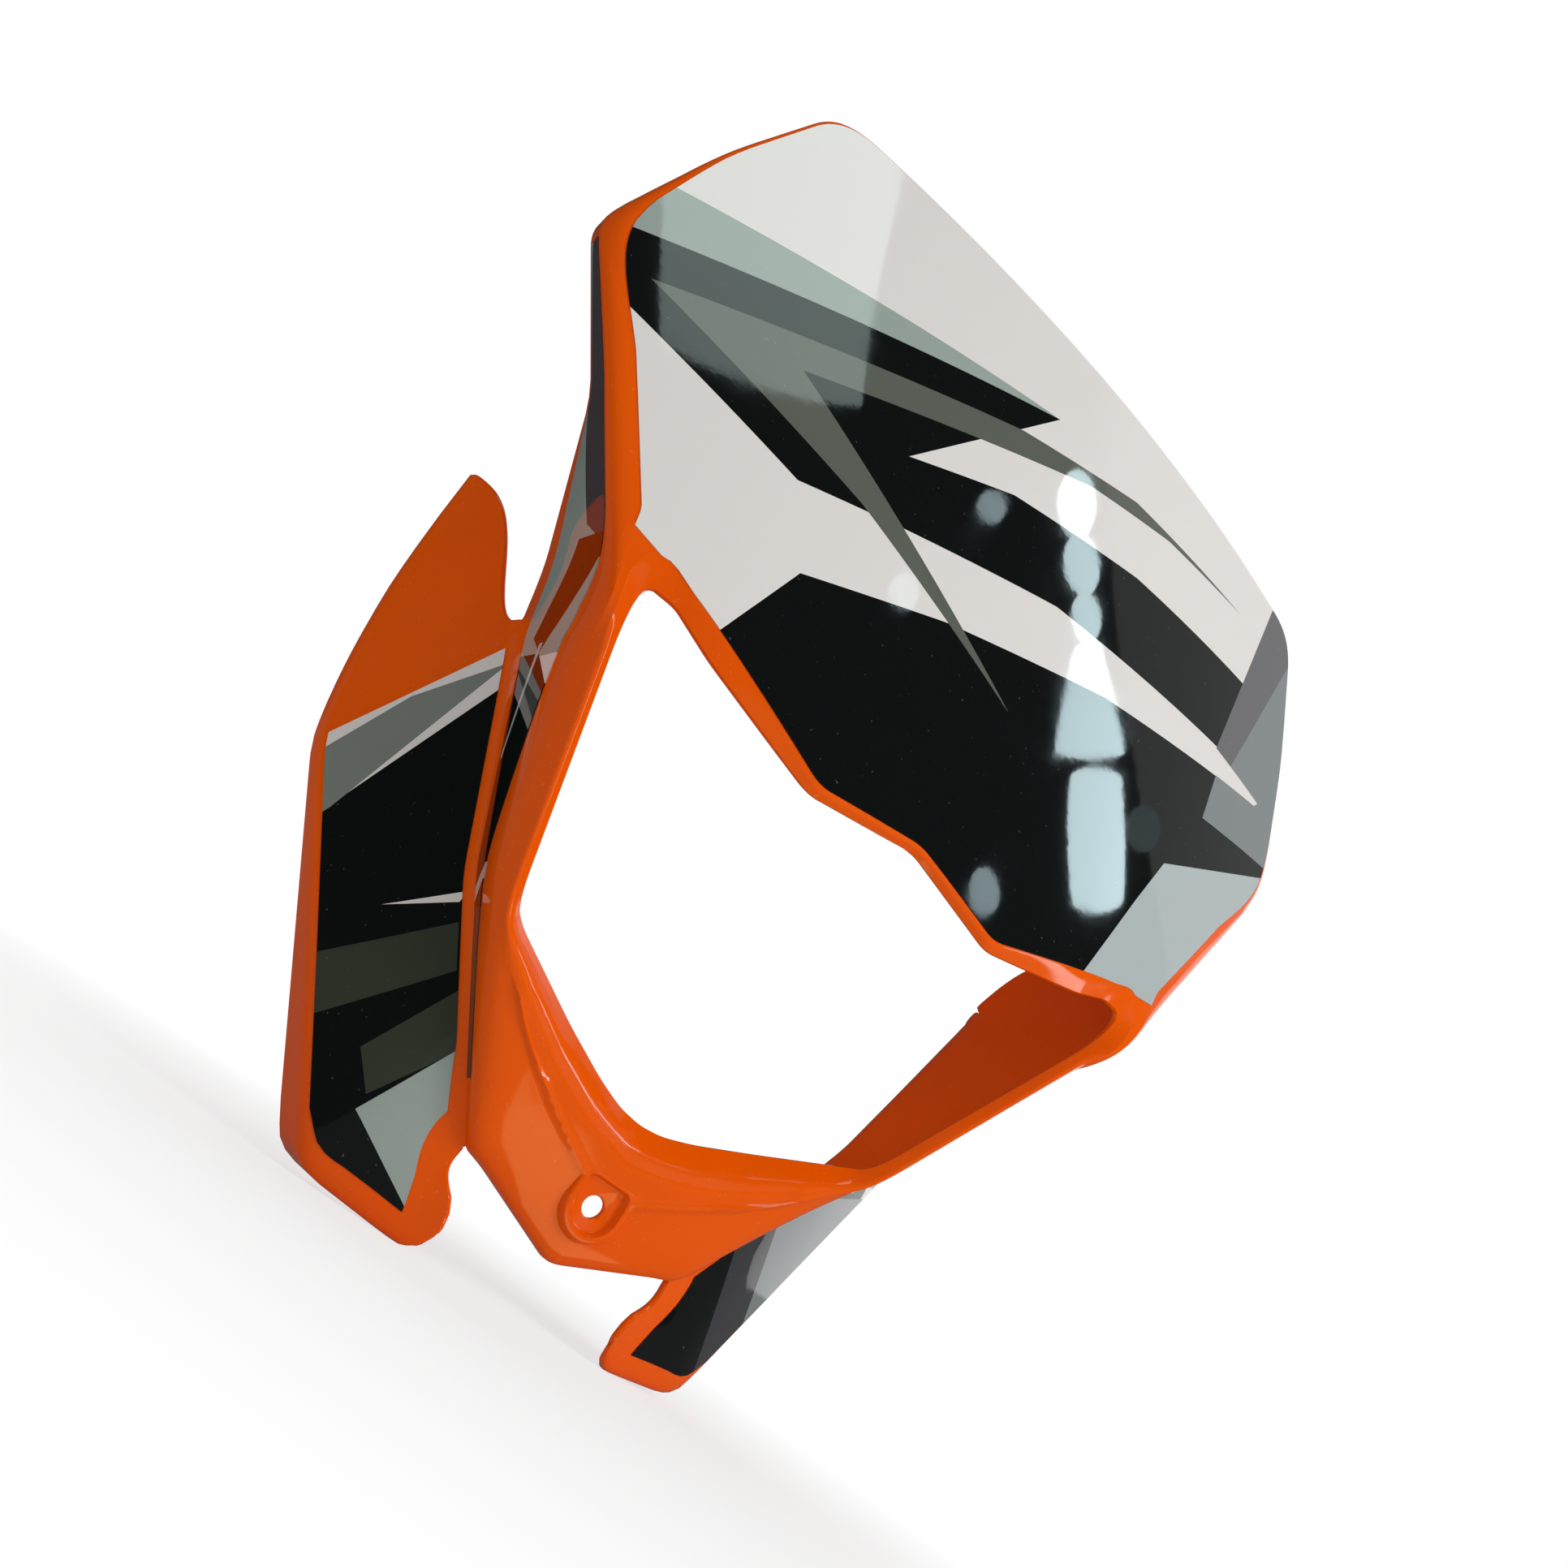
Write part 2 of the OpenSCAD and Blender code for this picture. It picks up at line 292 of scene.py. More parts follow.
def node_material(
    name: str, surface: Callable[[NodeGraph], bpy.types.Node]
) -> bpy.types.Material:
    """Makes a node-based material.

    Args:
        name: Its name.
        surface: Adds the material's nodes to a graph and gives the last shader.

    Returns:
        The material.
    """
    material = bpy.data.materials.new(name)
    material.use_nodes = True
    graph = NodeGraph(material.node_tree)
    graph.add("ShaderNodeOutputMaterial", None, {"Surface": surface(graph)})
    return material


@dataclass(frozen=True)
class MouldedPlastic:
    """Dyed, injection-moulded plastic with a polished or a plain face.

    Attributes:
        name: The material's name.
        colour: The dye.
        deep: The dye where the plastic flowed thicker and looks denser.
        roughness: The face's plain roughness.
        smear: How much handling marks roughen it.
        ripple: Height of the slow waves left by the mould, in metres.
        grain: Height of the fine grain, in metres.
    """

    name: str
    colour: Colour
    deep: Colour
    roughness: float
    smear: float
    ripple: float
    grain: float

    DUST = tone(235, 190, 160)

    def build(self) -> bpy.types.Material:
        """Makes the plastic."""
        return node_material(self.name, self._surface)

    def _surface(self, graph: NodeGraph) -> bpy.types.Node:
        """Adds the plastic's nodes."""
        cloud = graph.noise(9.0, 2.0)
        base = graph.mix(
            graph.ramp(cloud, [(0.35, 0.0), (0.7, 1.0)]), self.colour, self.deep
        )
        smears = graph.ramp(graph.noise(34.0, 5.0, 0.6), [(0.45, 0.0), (0.8, 1.0)])
        specks = graph.noise(900.0, 1.0)
        dust = graph.ramp(specks, [(0.72, 0.0), (0.76, 1.0)]) * 0.12
        base = graph.mix(dust, base, self.DUST)
        waves = graph.noise(60.0, 1.0) * self.ripple + specks * self.grain
        return graph.gloss(base, smears * self.smear + self.roughness, waves)


class Print(Enum):
    """The films, each with its own layout of printed fields."""

    PLATE = "plate_decal"
    LEFT_WING = "left_wing_decal"
    RIGHT_WING = "right_wing_decal"
    LEFT_SIDE = "left_side_decal"
    RIGHT_SIDE = "right_side_decal"


@dataclass(frozen=True)
class Inks:
    """The plain inks of the print."""

    white: Colour = tone(232, 229, 225)
    black: Colour = tone(15, 18, 18)
    slate: Colour = tone(96, 101, 93)
    olive: Colour = tone(58, 63, 52)
    sage: Colour = tone(158, 172, 165)
    silver: Colour = tone(182, 192, 192)
    plum: Colour = tone(74, 66, 70)
    grey: Colour = tone(108, 108, 110)
    pewter: Colour = tone(132, 139, 139)
    moss: Colour = tone(130, 137, 129)
    charcoal: Colour = tone(62, 63, 66)
    amber: Colour = tone(110, 36, 8)


class Canvas:
    """A film's colour, painted field by field on two of its coordinates."""

    def __init__(self, graph: NodeGraph, u: Signal, v: Signal, ground: Colour) -> None:
        """Starts from one ground colour.

        Args:
            graph: The film's graph.
            u: The coordinate that runs across, in millimetres.
            v: The coordinate that runs up, in millimetres.
            ground: The colour of the bare film.
        """
        self.graph = graph
        self.u = u
        self.v = v
        self.colour: object = ground

    def left_of(self, start: Point, end: Point) -> Signal:
        """1 to the left of the line from start to end, otherwise 0."""
        run, rise = end[0] - start[0], end[1] - start[1]
        length = math.hypot(run, rise)
        run, rise = run / length, rise / length
        return self.v * run - self.u * rise > start[1] * run - start[0] * rise

    def above(self, *points: Point) -> Signal:
        """1 above an upward-bulging chain that runs left to right."""
        mask = self.left_of(points[0], points[1])
        for start, end in zip(points[1:], points[2:]):
            mask = mask | self.left_of(start, end)
        return mask

    def below(self, *points: Point) -> Signal:
        """1 below an upward-bulging chain that runs left to right."""
        mask = self.left_of(points[1], points[0])
        for start, end in zip(points[1:], points[2:]):
            mask = mask & self.left_of(end, start)
        return mask

    def inside(self, *corners: Point) -> Signal:
        """1 inside a shape with no inward corner, otherwise 0."""
        area = sum(
            a[0] * b[1] - a[1] * b[0] for a, b in zip(corners, corners[1:] + corners[:1])
        )
        ordered = corners if area > 0 else tuple(reversed(corners))
        mask = self.left_of(ordered[-1], ordered[0])
        for start, end in zip(ordered, ordered[1:]):
            mask = mask & self.left_of(start, end)
        return mask

    def paint(self, ink: Colour, mask: Signal) -> None:
        """Lays an ink over what is painted so far."""
        self.colour = self.graph.mix(mask, self.colour, ink)

    def fill(self, ink: Colour, *corners: Point) -> None:
        """Fills a shape with no inward corner."""
        self.paint(ink, self.inside(*corners))


@dataclass(frozen=True)
class PrintedFilm:
    """Gloss-laminated printed film.

    Attributes:
        layout: Which film's fields are printed.
        inks: The inks.
        roughness: The laminate's roughness.
        smear: How much handling marks roughen it.
        ripple: Height of the laminate's fine waviness, in metres.
    """

    layout: Print
    inks: Inks = field(default_factory=Inks)
    roughness: float = 0.03
    smear: float = 0.05
    ripple: float = 0.000002

    def build(self) -> bpy.types.Material:
        """Makes the film's material."""
        return node_material(self.layout.value + "_film", self._surface)

    def _surface(self, graph: NodeGraph) -> bpy.types.Node:
        """Adds the film's nodes."""
        across, deep, high = graph.places()
        painters = {
            Print.PLATE: self._plate,
            Print.LEFT_WING: self._left_wing,
            Print.RIGHT_WING: self._right_wing,
            Print.LEFT_SIDE: self._side,
            Print.RIGHT_SIDE: self._side,
        }
        flat = self.layout in (Print.LEFT_SIDE, Print.RIGHT_SIDE)
        canvas = Canvas(graph, deep if flat else across, high, self.inks.white)
        painters[self.layout](canvas)
        fleck = graph.noise(700.0, 2.0)
        dust = graph.ramp(fleck, [(0.73, 0.0), (0.78, 1.0)]) * 0.10
        colour = graph.mix(dust, canvas.colour, self.inks.white)
        smears = graph.ramp(graph.noise(26.0, 6.0, 0.65), [(0.5, 0.0), (0.85, 1.0)])
        waves = graph.noise(420.0, 1.0) * self.ripple + graph.noise(45.0, 1.0) * (
            self.ripple * 5
        )
        return graph.gloss(colour, smears * self.smear + self.roughness, waves)

    def _plate(self, canvas: Canvas) -> None:
        """Prints the number plate's shards, on width and height."""
        inks = self.inks
        canvas.fill(inks.sage, (-178, 232.5), (-18, 299), (-178, 255.5))
        cut = canvas.left_of((-18, 299), (-81, 214))
        low = canvas.above((-96, 202), (-52, 218), (11, 240), (120, 259))
        toe = canvas.left_of((-155, 213.5), (-93, 205))
        band = canvas.below((-176, 233.5), (-18, 299))
        canvas.paint(inks.black, band & ~cut & low & toe)
        arch = canvas.below((-62, 240), (-22, 260), (39, 277), (125, 291))
        canvas.paint(inks.black, cut & low & arch)
        foot = canvas.below((-75, 180), (-25, 203), (45, 229), (125, 250.5))
        canvas.paint(inks.black, foot & canvas.left_of((-75, 180), (-88.5, 146)))
        top = canvas.below((-156, 226), (-29, 283), (26, 301), (90, 309))
        prong = canvas.above((-104, 237), (5, 289), (47, 301.5), (92, 309))
        shard = canvas.below((-104, 237), (10, 195))
        shard_foot = canvas.above((-156, 226.5), (-68, 214), (10, 195))
        canvas.paint(inks.slate, top & shard_foot & (prong | shard))
        canvas.fill(inks.pewter, (113, 335), (115, 257), (109, 228), (172, 243), (190, 335))
        canvas.fill(inks.grey, (117, 340), (142, 330), (122, 256), (110, 256))
        canvas.fill(inks.white, (108, 246.2), (108, 256.5), (148, 258.5), (146, 256.2))
        canvas.fill(
            inks.silver, (102, 201), (172, 240), (190, 150), (80, 130), (80, 145), (95, 182)
        )

    def _right_wing(self, canvas: Canvas) -> None:
        """Prints the wing on the rider's right, on width and height."""
        inks = self.inks
        canvas.paint(inks.black, canvas.below((-123, 52), (-107, 112)))
        top = ((-136, 58), (-129.5, 77.5), (-123.5, 95.5), (-109.6, 119.5))
        canvas.fill(inks.moss, (-136, 8), *top, (-109.9, 117), (-122, 54))
        canvas.fill(inks.white, (-97, 38), (-82, 55), (-82, 51))
        canvas.fill(inks.olive, (-106, 12), (-79, 46), (-72, 34), (-95, 0))
        canvas.fill(inks.olive, (-80, 1), (-66, 36), (-57, 19), (-72, -9))
        canvas.fill(inks.sage, (-72, -14), (-56, 23), (-30, 0), (-42, -31))

    def _left_wing(self, canvas: Canvas) -> None:
        """Prints the wing on the rider's left, on width and height."""
        inks = self.inks
        canvas.paint(inks.black, canvas.below((100, 130), (107, 112), (123, 52), (136, 12)))
        canvas.fill(inks.pewter, (66, 38), (140, 60), (140, 0), (110, -30), (98, -18))
        canvas.fill(inks.charcoal, (54, 26), (66, 38), (98, -18), (80, -32))
        canvas.fill(inks.sage, (136, 62), (129, 75), (112, 122), (111, 117), (123, 60))

    def _side(self, canvas: Canvas) -> None:
        """Prints the strip beside the plate, on depth and height."""
        inks = self.inks
        canvas.paint(inks.sage, canvas.left_of((-30, 120), (40, 120)))
        canvas.fill(inks.plum, (17, 250), (19, 192), (-4, 156), (-45, 140), (-45, 250))
        canvas.fill(inks.amber, (-30, 151), (2, 153), (19, 126), (9, 121))
        top = ((-30, 120), (9, 121), (20, 128), (40, 118))
        canvas.fill(inks.black, *top, (40, -20), (-30, -20))
        canvas.fill(inks.silver, (8, 124), (11, 124), (23, 93), (22, 92))
        canvas.fill(inks.silver, (1, 66), (6, 66), (22, 55), (19, 53))
        canvas.fill(inks.olive, (-10, 52), (30, 52), (30, 0), (-10, 0))


@dataclass(frozen=True)
class StudioFloor:
    """Pale, seamless floor that fades into the white background, and shows a painted reflection in
    the object's gloss.

    Attributes:
        colour: The floor's own colour.
        mottle: The colour of its faint clouds.
        pale: How much of the white shows even below the object.
        near: Distance at which it starts to fade, in metres.
        far: Distance at which it has faded, in metres.
        mirrored: How bright it looks in the object's gloss.
        sheet: Colour of a warm patch before the chin that glows only in the gloss, a painted
            reflection that lightens the chin.
        chin_reflection_glow_level: How bright that painted reflection glows.
        chin_reflection_glow_across: The patch's sides, in millimetres.
        chin_reflection_glow_deep: The patch's near and far edge, in millimetres.
    """

    colour: Colour = tone(243, 243, 242)
    mottle: Colour = tone(236, 236, 236)
    pale: float = 0.68
    near: float = 0.08
    far: float = 0.32
    mirrored: float = 0.12
    # A warm patch that glows only in the gloss: a painted reflection on the chin.
    sheet: Colour = tone(245, 250, 180)
    chin_reflection_glow_level: float = 1.4
    chin_reflection_glow_across: Point = (-14, 60)
    chin_reflection_glow_deep: Point = (-165, -20)

    def build(self) -> bpy.types.Material:
        """Makes the floor's material."""
        return node_material("pale_floor", self._surface)

    def _surface(self, graph: NodeGraph) -> bpy.types.Node:
        """Adds the floor's nodes."""
        source = graph.add("ShaderNodeTexCoord")
        reach = graph.add(
            "ShaderNodeVectorMath", {"operation": "LENGTH"}, {0: source.outputs["Object"]}
        )
        span = Signal(graph, reach.outputs["Value"])
        fade = graph.ramp(
            (span - self.near) / (self.far - self.near), [(0.0, self.pale), (1.0, 1.0)]
        )
        clouds = graph.mix(graph.noise(3.0, 3.0) * 0.4, self.colour, self.mottle)
        matt = graph.add("ShaderNodeBsdfDiffuse", None, {"Color": clouds})
        plain = graph.layer(fade & graph.rays("Camera", "Transmission"), matt, graph.glow(1.0))
        # Glossy rays see a flat dim glow, and a warm glowing patch before the chin: painted
        # reflections, not the lit floor.
        across, deep, _ = graph.places()
        left, right = self.chin_reflection_glow_across
        front, back = self.chin_reflection_glow_deep
        sheet = (across > left) & ~(across > right) & (deep > front) & ~(deep > back)
        mirror = graph.layer(
            sheet, graph.glow(self.mirrored), graph.glow(self.chin_reflection_glow_level, self.sheet)
        )
        return graph.layer(graph.rays("Glossy"), plain, mirror)


# ---------------------------------------------------------------- shape


@dataclass(frozen=True)
class Rail:
    """A guide line round the moulding, straight between its stops.

    Attributes:
        stops: Stations and their points.
    """

    stops: tuple[tuple[float, tuple[float, float, float]], ...]

    END = 6.0

    def at(self, stations: np.ndarray) -> np.ndarray:
        """Gives the points at some stations, mirrored past either end.

        Args:
            stations: The stations.

        Returns:
            One row of x, y and z for each.
        """
        folded = np.abs(stations)
        folded = np.where(folded > self.END, 2 * self.END - folded, folded)
        marks = [s for s, _ in self.stops]
        places = np.array([p for _, p in self.stops], dtype=float)
        found = np.stack([np.interp(folded, marks, places[:, k]) for k in range(3)], axis=-1)
        flipped = (stations < 0) | (stations > self.END)
        found[..., 0] = np.where(flipped, -found[..., 0], found[..., 0])
        return found

    def eased(self, stations: np.ndarray, reach: np.ndarray | float) -> np.ndarray:
        """Gives the points with the rail's corners rounded.

        Args:
            stations: The stations.
            reach: How far the rounding reaches to each side, in stations.

        Returns:
            One row of x, y and z for each.
        """
        steps = np.linspace(-1, 1, 17)
        weights = np.ones(17)
        weights[[0, -1]] = 0.5
        total = sum(w * self.at(stations + t * reach) for t, w in zip(steps, weights))
        return total / weights.sum()


def table(stations: np.ndarray, *stops: tuple[float, float]) -> np.ndarray:
    """Reads numbers from a table that is straight between its stops."""
    return np.interp(stations, [s for s, _ in stops], [v for _, v in stops])


def column(values: np.ndarray) -> np.ndarray:
    """Stands a row of numbers up, to multiply points."""
    return np.asarray(values)[:, None]


def blend(a: np.ndarray, b: np.ndarray, share: np.ndarray | float) -> np.ndarray:
    """Goes a share of the way from a to b."""
    return a + (b - a) * share


def curve(a: np.ndarray, b: np.ndarray, c: np.ndarray, share: float) -> np.ndarray:
    """Rounds the corner b between a and c."""
    return blend(blend(a, b, share), blend(b, c, share), share)


def length(v: np.ndarray) -> np.ndarray:
    """Gives each row's length."""
    return np.linalg.norm(v, axis=-1)


def make_mesh(
    name: str, points: list[Sequence[float]], faces: list[tuple[int, ...]], smooth: bool = False
) -> bpy.types.Mesh:
    """Makes a mesh from points in metres."""
    mesh = bpy.data.meshes.new(name)
    mesh.from_pydata(points, [], faces)
    if smooth:
        mesh.polygons.foreach_set("use_smooth", [True] * len(faces))
    return mesh


def link(name: str, data: bpy.types.ID) -> bpy.types.Object:
    """Puts a mesh, a camera or a lamp into the scene as an object of that name."""
    made = bpy.data.objects.new(name, data)
    bpy.context.scene.collection.objects.link(made)
    return made


@dataclass
class FairingForm:
    """The moulding's shape: spokes from the lamp opening to the outer edge.

    Attributes:
        plate_top_half: Half width between the plate's top corners.
        shoulder_half: Half width at the shoulders.
        plate_top_z: Height of the plate's top edge.
        shoulder_z: Height of the shoulders.
        plate_lean: Lean of the plate from upright, in degrees.
        plate_crown: How far the plate falls back at its top corners.
        plate_top_y: Depth of the middle of the top edge.
        opening_top_half: Half width of the lamp opening at the top.
        opening_low_half: Half width of the opening where the pillars end.
        opening_top_z: Height of the opening's upper edge.
        opening_low_z: Height of the opening's lower edge.
        jaw_half: Half width where the plate's sides meet the pillars.
        jaw_z: Height of that point.
        knee_z: Height at which the pillars turn into the chin.
        ear_half: Half width over the ears.
        ear_z: Height of the ear tips.
        wing_low_half: Half width at the lower wing corners.
        wing_drop: Drop of those corners below the bolt.
        flange_depth: Depth of the flange at the lower wing edge.
        wall: Thickness of the moulded wall.
        finer: Spokes for each spoke of the part's source.
    """

    plate_top_half: float = 135
    shoulder_half: float = 177
    plate_top_z: float = 330
    shoulder_z: float = 234.5
    plate_lean: float = 15
    plate_crown: float = 16
    plate_top_y: float = 5.3
    opening_top_half: float = 116
    opening_low_half: float = 77
    opening_top_z: float = 134.5
    opening_low_z: float = 27.5
    jaw_half: float = 125.5
    jaw_z: float = 148.5
    knee_z: float = 58
    ear_half: float = 148
    ear_z: float = 166
    wing_low_half: float = 75
    wing_drop: float = 36
    flange_depth: float = 18
    wall: float = 2.5
    finer: int = 4

    # Steps across each part of a spoke.
    LIP_BENDS = 5
    FACE_ROWS = 26
    FOLD_BENDS = 8
    SIDE_ROWS = 8
    VALLEY_BENDS = 3
    PANEL_ROWS = 24
    RIM_BENDS = 6
    # Stations where the wing starts and ends.
    EAR_START = 3.12
    CHIN_CORNER = 5.0
    # The chin's rib: its place across the face, its height and its half width.
    RIB_LINE = (
        (3, 0.45), (4, 0.3), (4.3, 0.24), (4.65, 0.3), (5, 0.24), (5.4, 0.3), (5.7, 0.36), (6, 0.32)
    )
    RIB_HEIGHT = 1.3
    RIB_REACH = 0.055
    # How far the bends reach from the fold over the face and the side, and their most.
    FACE_CUT = ((0, 1.6), (1, 2), (1.5, 3.2), (1.8, 5), (2.05, 9), (6, 9))
    FACE_CUT_MOST = 0.4
    SIDE_CUT = ((1.9, 9), (2.1, 5.5), (2.9, 5.5), (3.1, 9))
    SIDE_CUT_MOST = 0.55
    # How far the valley's bend reaches over the wing.
    VALLEY_CUT = 4
    # Rise of the lip to its width, and the way in which a wing bows.
    LIP_SLOPE = 0.37
    BOW_WAY = (3 / 3.4, 1.6 / 3.4)

    def __post_init__(self) -> None:
        """Works out the rows, the spokes and their directions."""
        self.face_first = 2 + self.LIP_BENDS
        self.fold_first = self.face_first + self.FACE_ROWS
        self.side_first = self.fold_first + self.FOLD_BENDS + 1
        self.side_last = self.side_first + self.SIDE_ROWS
        self.back_row = self.side_last + self.VALLEY_BENDS
        self.panel_first = self.back_row + self.VALLEY_BENDS
        self.rim_first = self.panel_first + self.PANEL_ROWS
        self.stations = self._stations()
        self._rails()
        self.ring = self._ring()
        self.normals = self._normals()

    def _stations(self) -> np.ndarray:
        """Gives the stations of one half, finer near the corners."""
        plain = [0, 0.06, 0.12, 0.3, 0.5, 0.7, 0.88, 0.94]
        wing = [0, 0.06, 0.12, 0.2, 0.3, 0.36, 0.4, 0.55, 0.7, 0.85, 0.94]
        chin = [0, 0.12, 0.3, 0.5, 0.65, 0.76, 0.86, 0.94]
        marks = [k + f for k in range(3) for f in plain]
        marks += [3 + f for f in wing] + [4 + f for f in chin]
        marks += [5 + f for f in plain] + [6]
        steps = np.arange(self.finer) / self.finer
        fine = [a + (b - a) * t for a, b in zip(marks, marks[1:]) for t in steps]
        return np.array(fine + [6.0])

    def plate_y(self, x: np.ndarray | float, z: np.ndarray | float) -> np.ndarray | float:
        """Gives the depth of the plate's surface."""
        lean = math.tan(math.radians(self.plate_lean))
        crown = self.plate_crown * (x / self.plate_top_half) ** 2
        return self.plate_top_y + (z - self.plate_top_z) * lean + crown

    def on_plate(self, x: float, z: float, back: float = 0) -> tuple[float, float, float]:
        """Gives a point on the plate's surface, or behind it."""
        return (x, float(self.plate_y(x, z)) + back, z)

    def _rails(self) -> None:
        """Sets the guide lines."""
        top, low = self.opening_top_half, self.opening_low_half
        up, down = self.opening_top_z, self.opening_low_z
        on = self.on_plate
        knee = self.knee_z
        self.opening = Rail((
            (0, on(0, up, 2.5)),
            (1, on(40, up - 8, 2.5)),
            (2, on(85, up + 5, 2.5)),
            (2.75, on(top - 15, up + 11.5, 2.5)),
            (3, on(top - 5, up + 11.5, 2.5)),
            (3.2, (top - 6.5, -29, up)),
            (4, (low, -4, knee)),
            (4.2, (low - 7, 1, knee - 4)),
            (5, (38, 4, down + 12)),
            (5.4, (20, 4, down + 4.5)),
            (5.7, (9, 4, down + 1)),
            (6, (0, 4, down)),
        ))
        self.lip = Rail((
            (0, on(0, up + 2)),
            (1, self._lip_line(39)),
            (2, self._lip_line(84)),
            (2.7, self._lip_line(top - 18)),
            (2.88, self._lip_line(top - 7, 1)),
            (3, on(top, up + 15)),
            (3.2, (top - 2.5, -32, up + 1)),
            (4, (low + 2.5, -6.5, knee - 4)),
            (4.2, (low - 4, -5.5, knee - 10)),
            (5, (35, -3.6, down + 1)),
            (5.4, (20, -3.8, down - 5)),
            (6, (0, -3.8, down - 9)),
        ))
        half, shoulder = self.plate_top_half, self.shoulder_half
        self.fold = Rail((
            (0, on(0, self.plate_top_z)),
            (1, on(half, self.plate_top_z)),
            (1.5, on((half + shoulder) / 2 + 3, (self.plate_top_z + self.shoulder_z) / 2 + 2)),
            (2, on(shoulder, self.shoulder_z)),
            (3, on(self.jaw_half, self.jaw_z)),
            (3.5, (108, -13, 106)),
            (4, (low + 11.5, 1.5, knee + 4.5)),
            (5, (43, 3, -4)),
            (6, (0, 2, -21)),
        ))
        jaw, jaw_z = self.jaw_half, self.jaw_z
        self.back = Rail((
            (0, on(0, self.plate_top_z - 1.5, 3 * self.wall)),
            (1, on(half - 1.5, self.plate_top_z - 1.5, 3 * self.wall)),
            (2, on(shoulder - 3, self.shoulder_z + 2, 16)),
            (2.5, (142.5, 24, 197)),
            (3, (jaw - 7.5, 38, jaw_z + 1.5)),
            (3.12, (jaw - 13, 40.5, jaw_z - 17)),
            (3.4, (jaw - 14, 37.5, jaw_z - 20.5)),
            (4, (low + 7, 23, knee + 4)),
            (4.5, (64, 14, 28)),
            (5, (42, 9, -6)),
            (5.2, (34, 3 + 2.6 * self.wall, -8)),
            (6, (0, 2 + 2.6 * self.wall, -20.5)),
        ))
        ear, drop = self.ear_half, self.wing_drop
        self.outer = Rail((
            (3.12, (ear, 62, self.ear_z)),
            (3.2, (ear - 1, 64.5, 134.5)),
            (3.3, (ear - 4, 66.4, 109.5)),
            (3.36, (ear - 10, 66.6, 76)),
            (3.4, (ear - 13.5, 64.8, 68)),
            (4.65, (self.wing_low_half, 21, -drop)),
            (4.86, (43, 10, -drop - 2.5)),
            (4.94, (36.8, 7.2, -drop - 2.5)),
            (5, (34.5, 4.8, 4.5 - drop)),
        ))

    def _lip_line(self, x: float, rise: float = 0) -> tuple[float, float, float]:
        """Gives a point of the straight lip between the dip and the upper corner."""
        return self.on_plate(x, self.opening_top_z - 5.5 + self.LIP_SLOPE * (x - 39) + rise)

    def _fold_points(self, s: np.ndarray) -> np.ndarray:
        """Gives the fold's line, laid on the plate's surface beside the plate."""
        points = self.fold.eased(s, 0.12)
        share = table(s, (3, 1), (3.3, 0))
        points[:, 1] = blend(points[:, 1], self.plate_y(points[:, 0], points[:, 2]), share)
        return points

    def _face(self, s: np.ndarray, lip: np.ndarray, fold: np.ndarray, t: np.ndarray) -> np.ndarray:
        """Gives face points a share t of the way from lip to fold, with the chin's rib."""
        points = blend(lip, fold, column(t))
        place = table(s, *self.RIB_LINE)
        high = self.RIB_HEIGHT
        rise = table(s, (4.05, 0), (4.3, high), (5.7, high), (5.88, 0))
        bump = np.maximum(0, 1 - np.abs(t - place) / self.RIB_REACH) ** 0.9
        share = table(s, (3, 1), (3.3, 0))
        points[:, 1] = (
            blend(points[:, 1], self.plate_y(points[:, 0], points[:, 2]), share) - rise * bump
        )
        return points

    def _slant(self, s: np.ndarray, way: np.ndarray) -> np.ndarray:
        """Gives the sine between a spoke and the fold, not below a quarter."""
        run = self._fold_points(np.minimum(s + 0.12, 6)) - self._fold_points(np.minimum(s, 5.88))
        sine = length(np.cross(way, run)) / np.maximum(length(way) * length(run), 1e-6)
        return np.maximum(sine, 0.25)

    def _inner_rows(self, s: np.ndarray) -> tuple[list[np.ndarray], np.ndarray]:
        """Gives the rows from the opening to the side strip, and the back line."""
        edge, lip = self.opening.eased(s, 0.1), self.lip.eased(s, 0.1)
        fold, back = self._fold_points(s), self.back.eased(s, 0.06)
        width = length(fold - lip)
        face_cut = table(s, *self.FACE_CUT) / self._slant(s, fold - lip)
        face_cut = np.minimum(face_cut, self.FACE_CUT_MOST * width)
        depth = length(back - fold)
        side_cut = table(s, *self.SIDE_CUT) / self._slant(s, back - fold)
        side_cut = np.minimum(side_cut, self.SIDE_CUT_MOST * depth)
        start, stop = 0.4 * length(lip - edge) / width, 1 - face_cut / width
        lip_in = blend(edge, lip, 0.6)
        lip_out = self._face(s, lip, fold, start)
        fold_in = self._face(s, lip, fold, stop)
        fold_out = blend(fold, back, column(side_cut / depth))
        rows = [edge, blend(edge, lip_in, 0.5), lip_in]
        rows += [curve(lip_in, lip, lip_out, k / self.LIP_BENDS) for k in range(1, self.LIP_BENDS)]
        shares = np.linspace(0, 1, self.FACE_ROWS + 1)
        rows += [self._face(s, lip, fold, blend(start, stop, t)) for t in shares]
        turns = np.arange(1, self.FOLD_BENDS + 1) / (self.FOLD_BENDS + 1)
        rows += [curve(fold_in, fold, fold_out, t) for t in turns]
        rows += [blend(fold_out, back, 0.8 * k / self.SIDE_ROWS) for k in range(self.SIDE_ROWS + 1)]
        return rows, back

    def _panel(
        self, s: np.ndarray, valley: np.ndarray, outer: np.ndarray, t: np.ndarray
    ) -> np.ndarray:
        """Gives wing points a share t of the way out, bowed beside the two notches."""
        points = blend(valley, outer, column(t))
        points[:, 2] -= table(s, (3.12, 6), (3.4, 0)) * np.sin(2 * np.pi * t**0.75)
        wave = np.sin(2 * np.pi * t**1.2)
        bow = table(s, (4.6, 0), (4.86, 1.5), (5, 3)) * np.where(wave > 0, wave, 0.3 * wave)
        bow += table(s, (4.6, 0), (4.86, 4), (5, 0)) * np.sin(np.pi * np.sqrt(t))
        points[:, :2] += column(bow) * np.array(self.BOW_WAY)
        return points

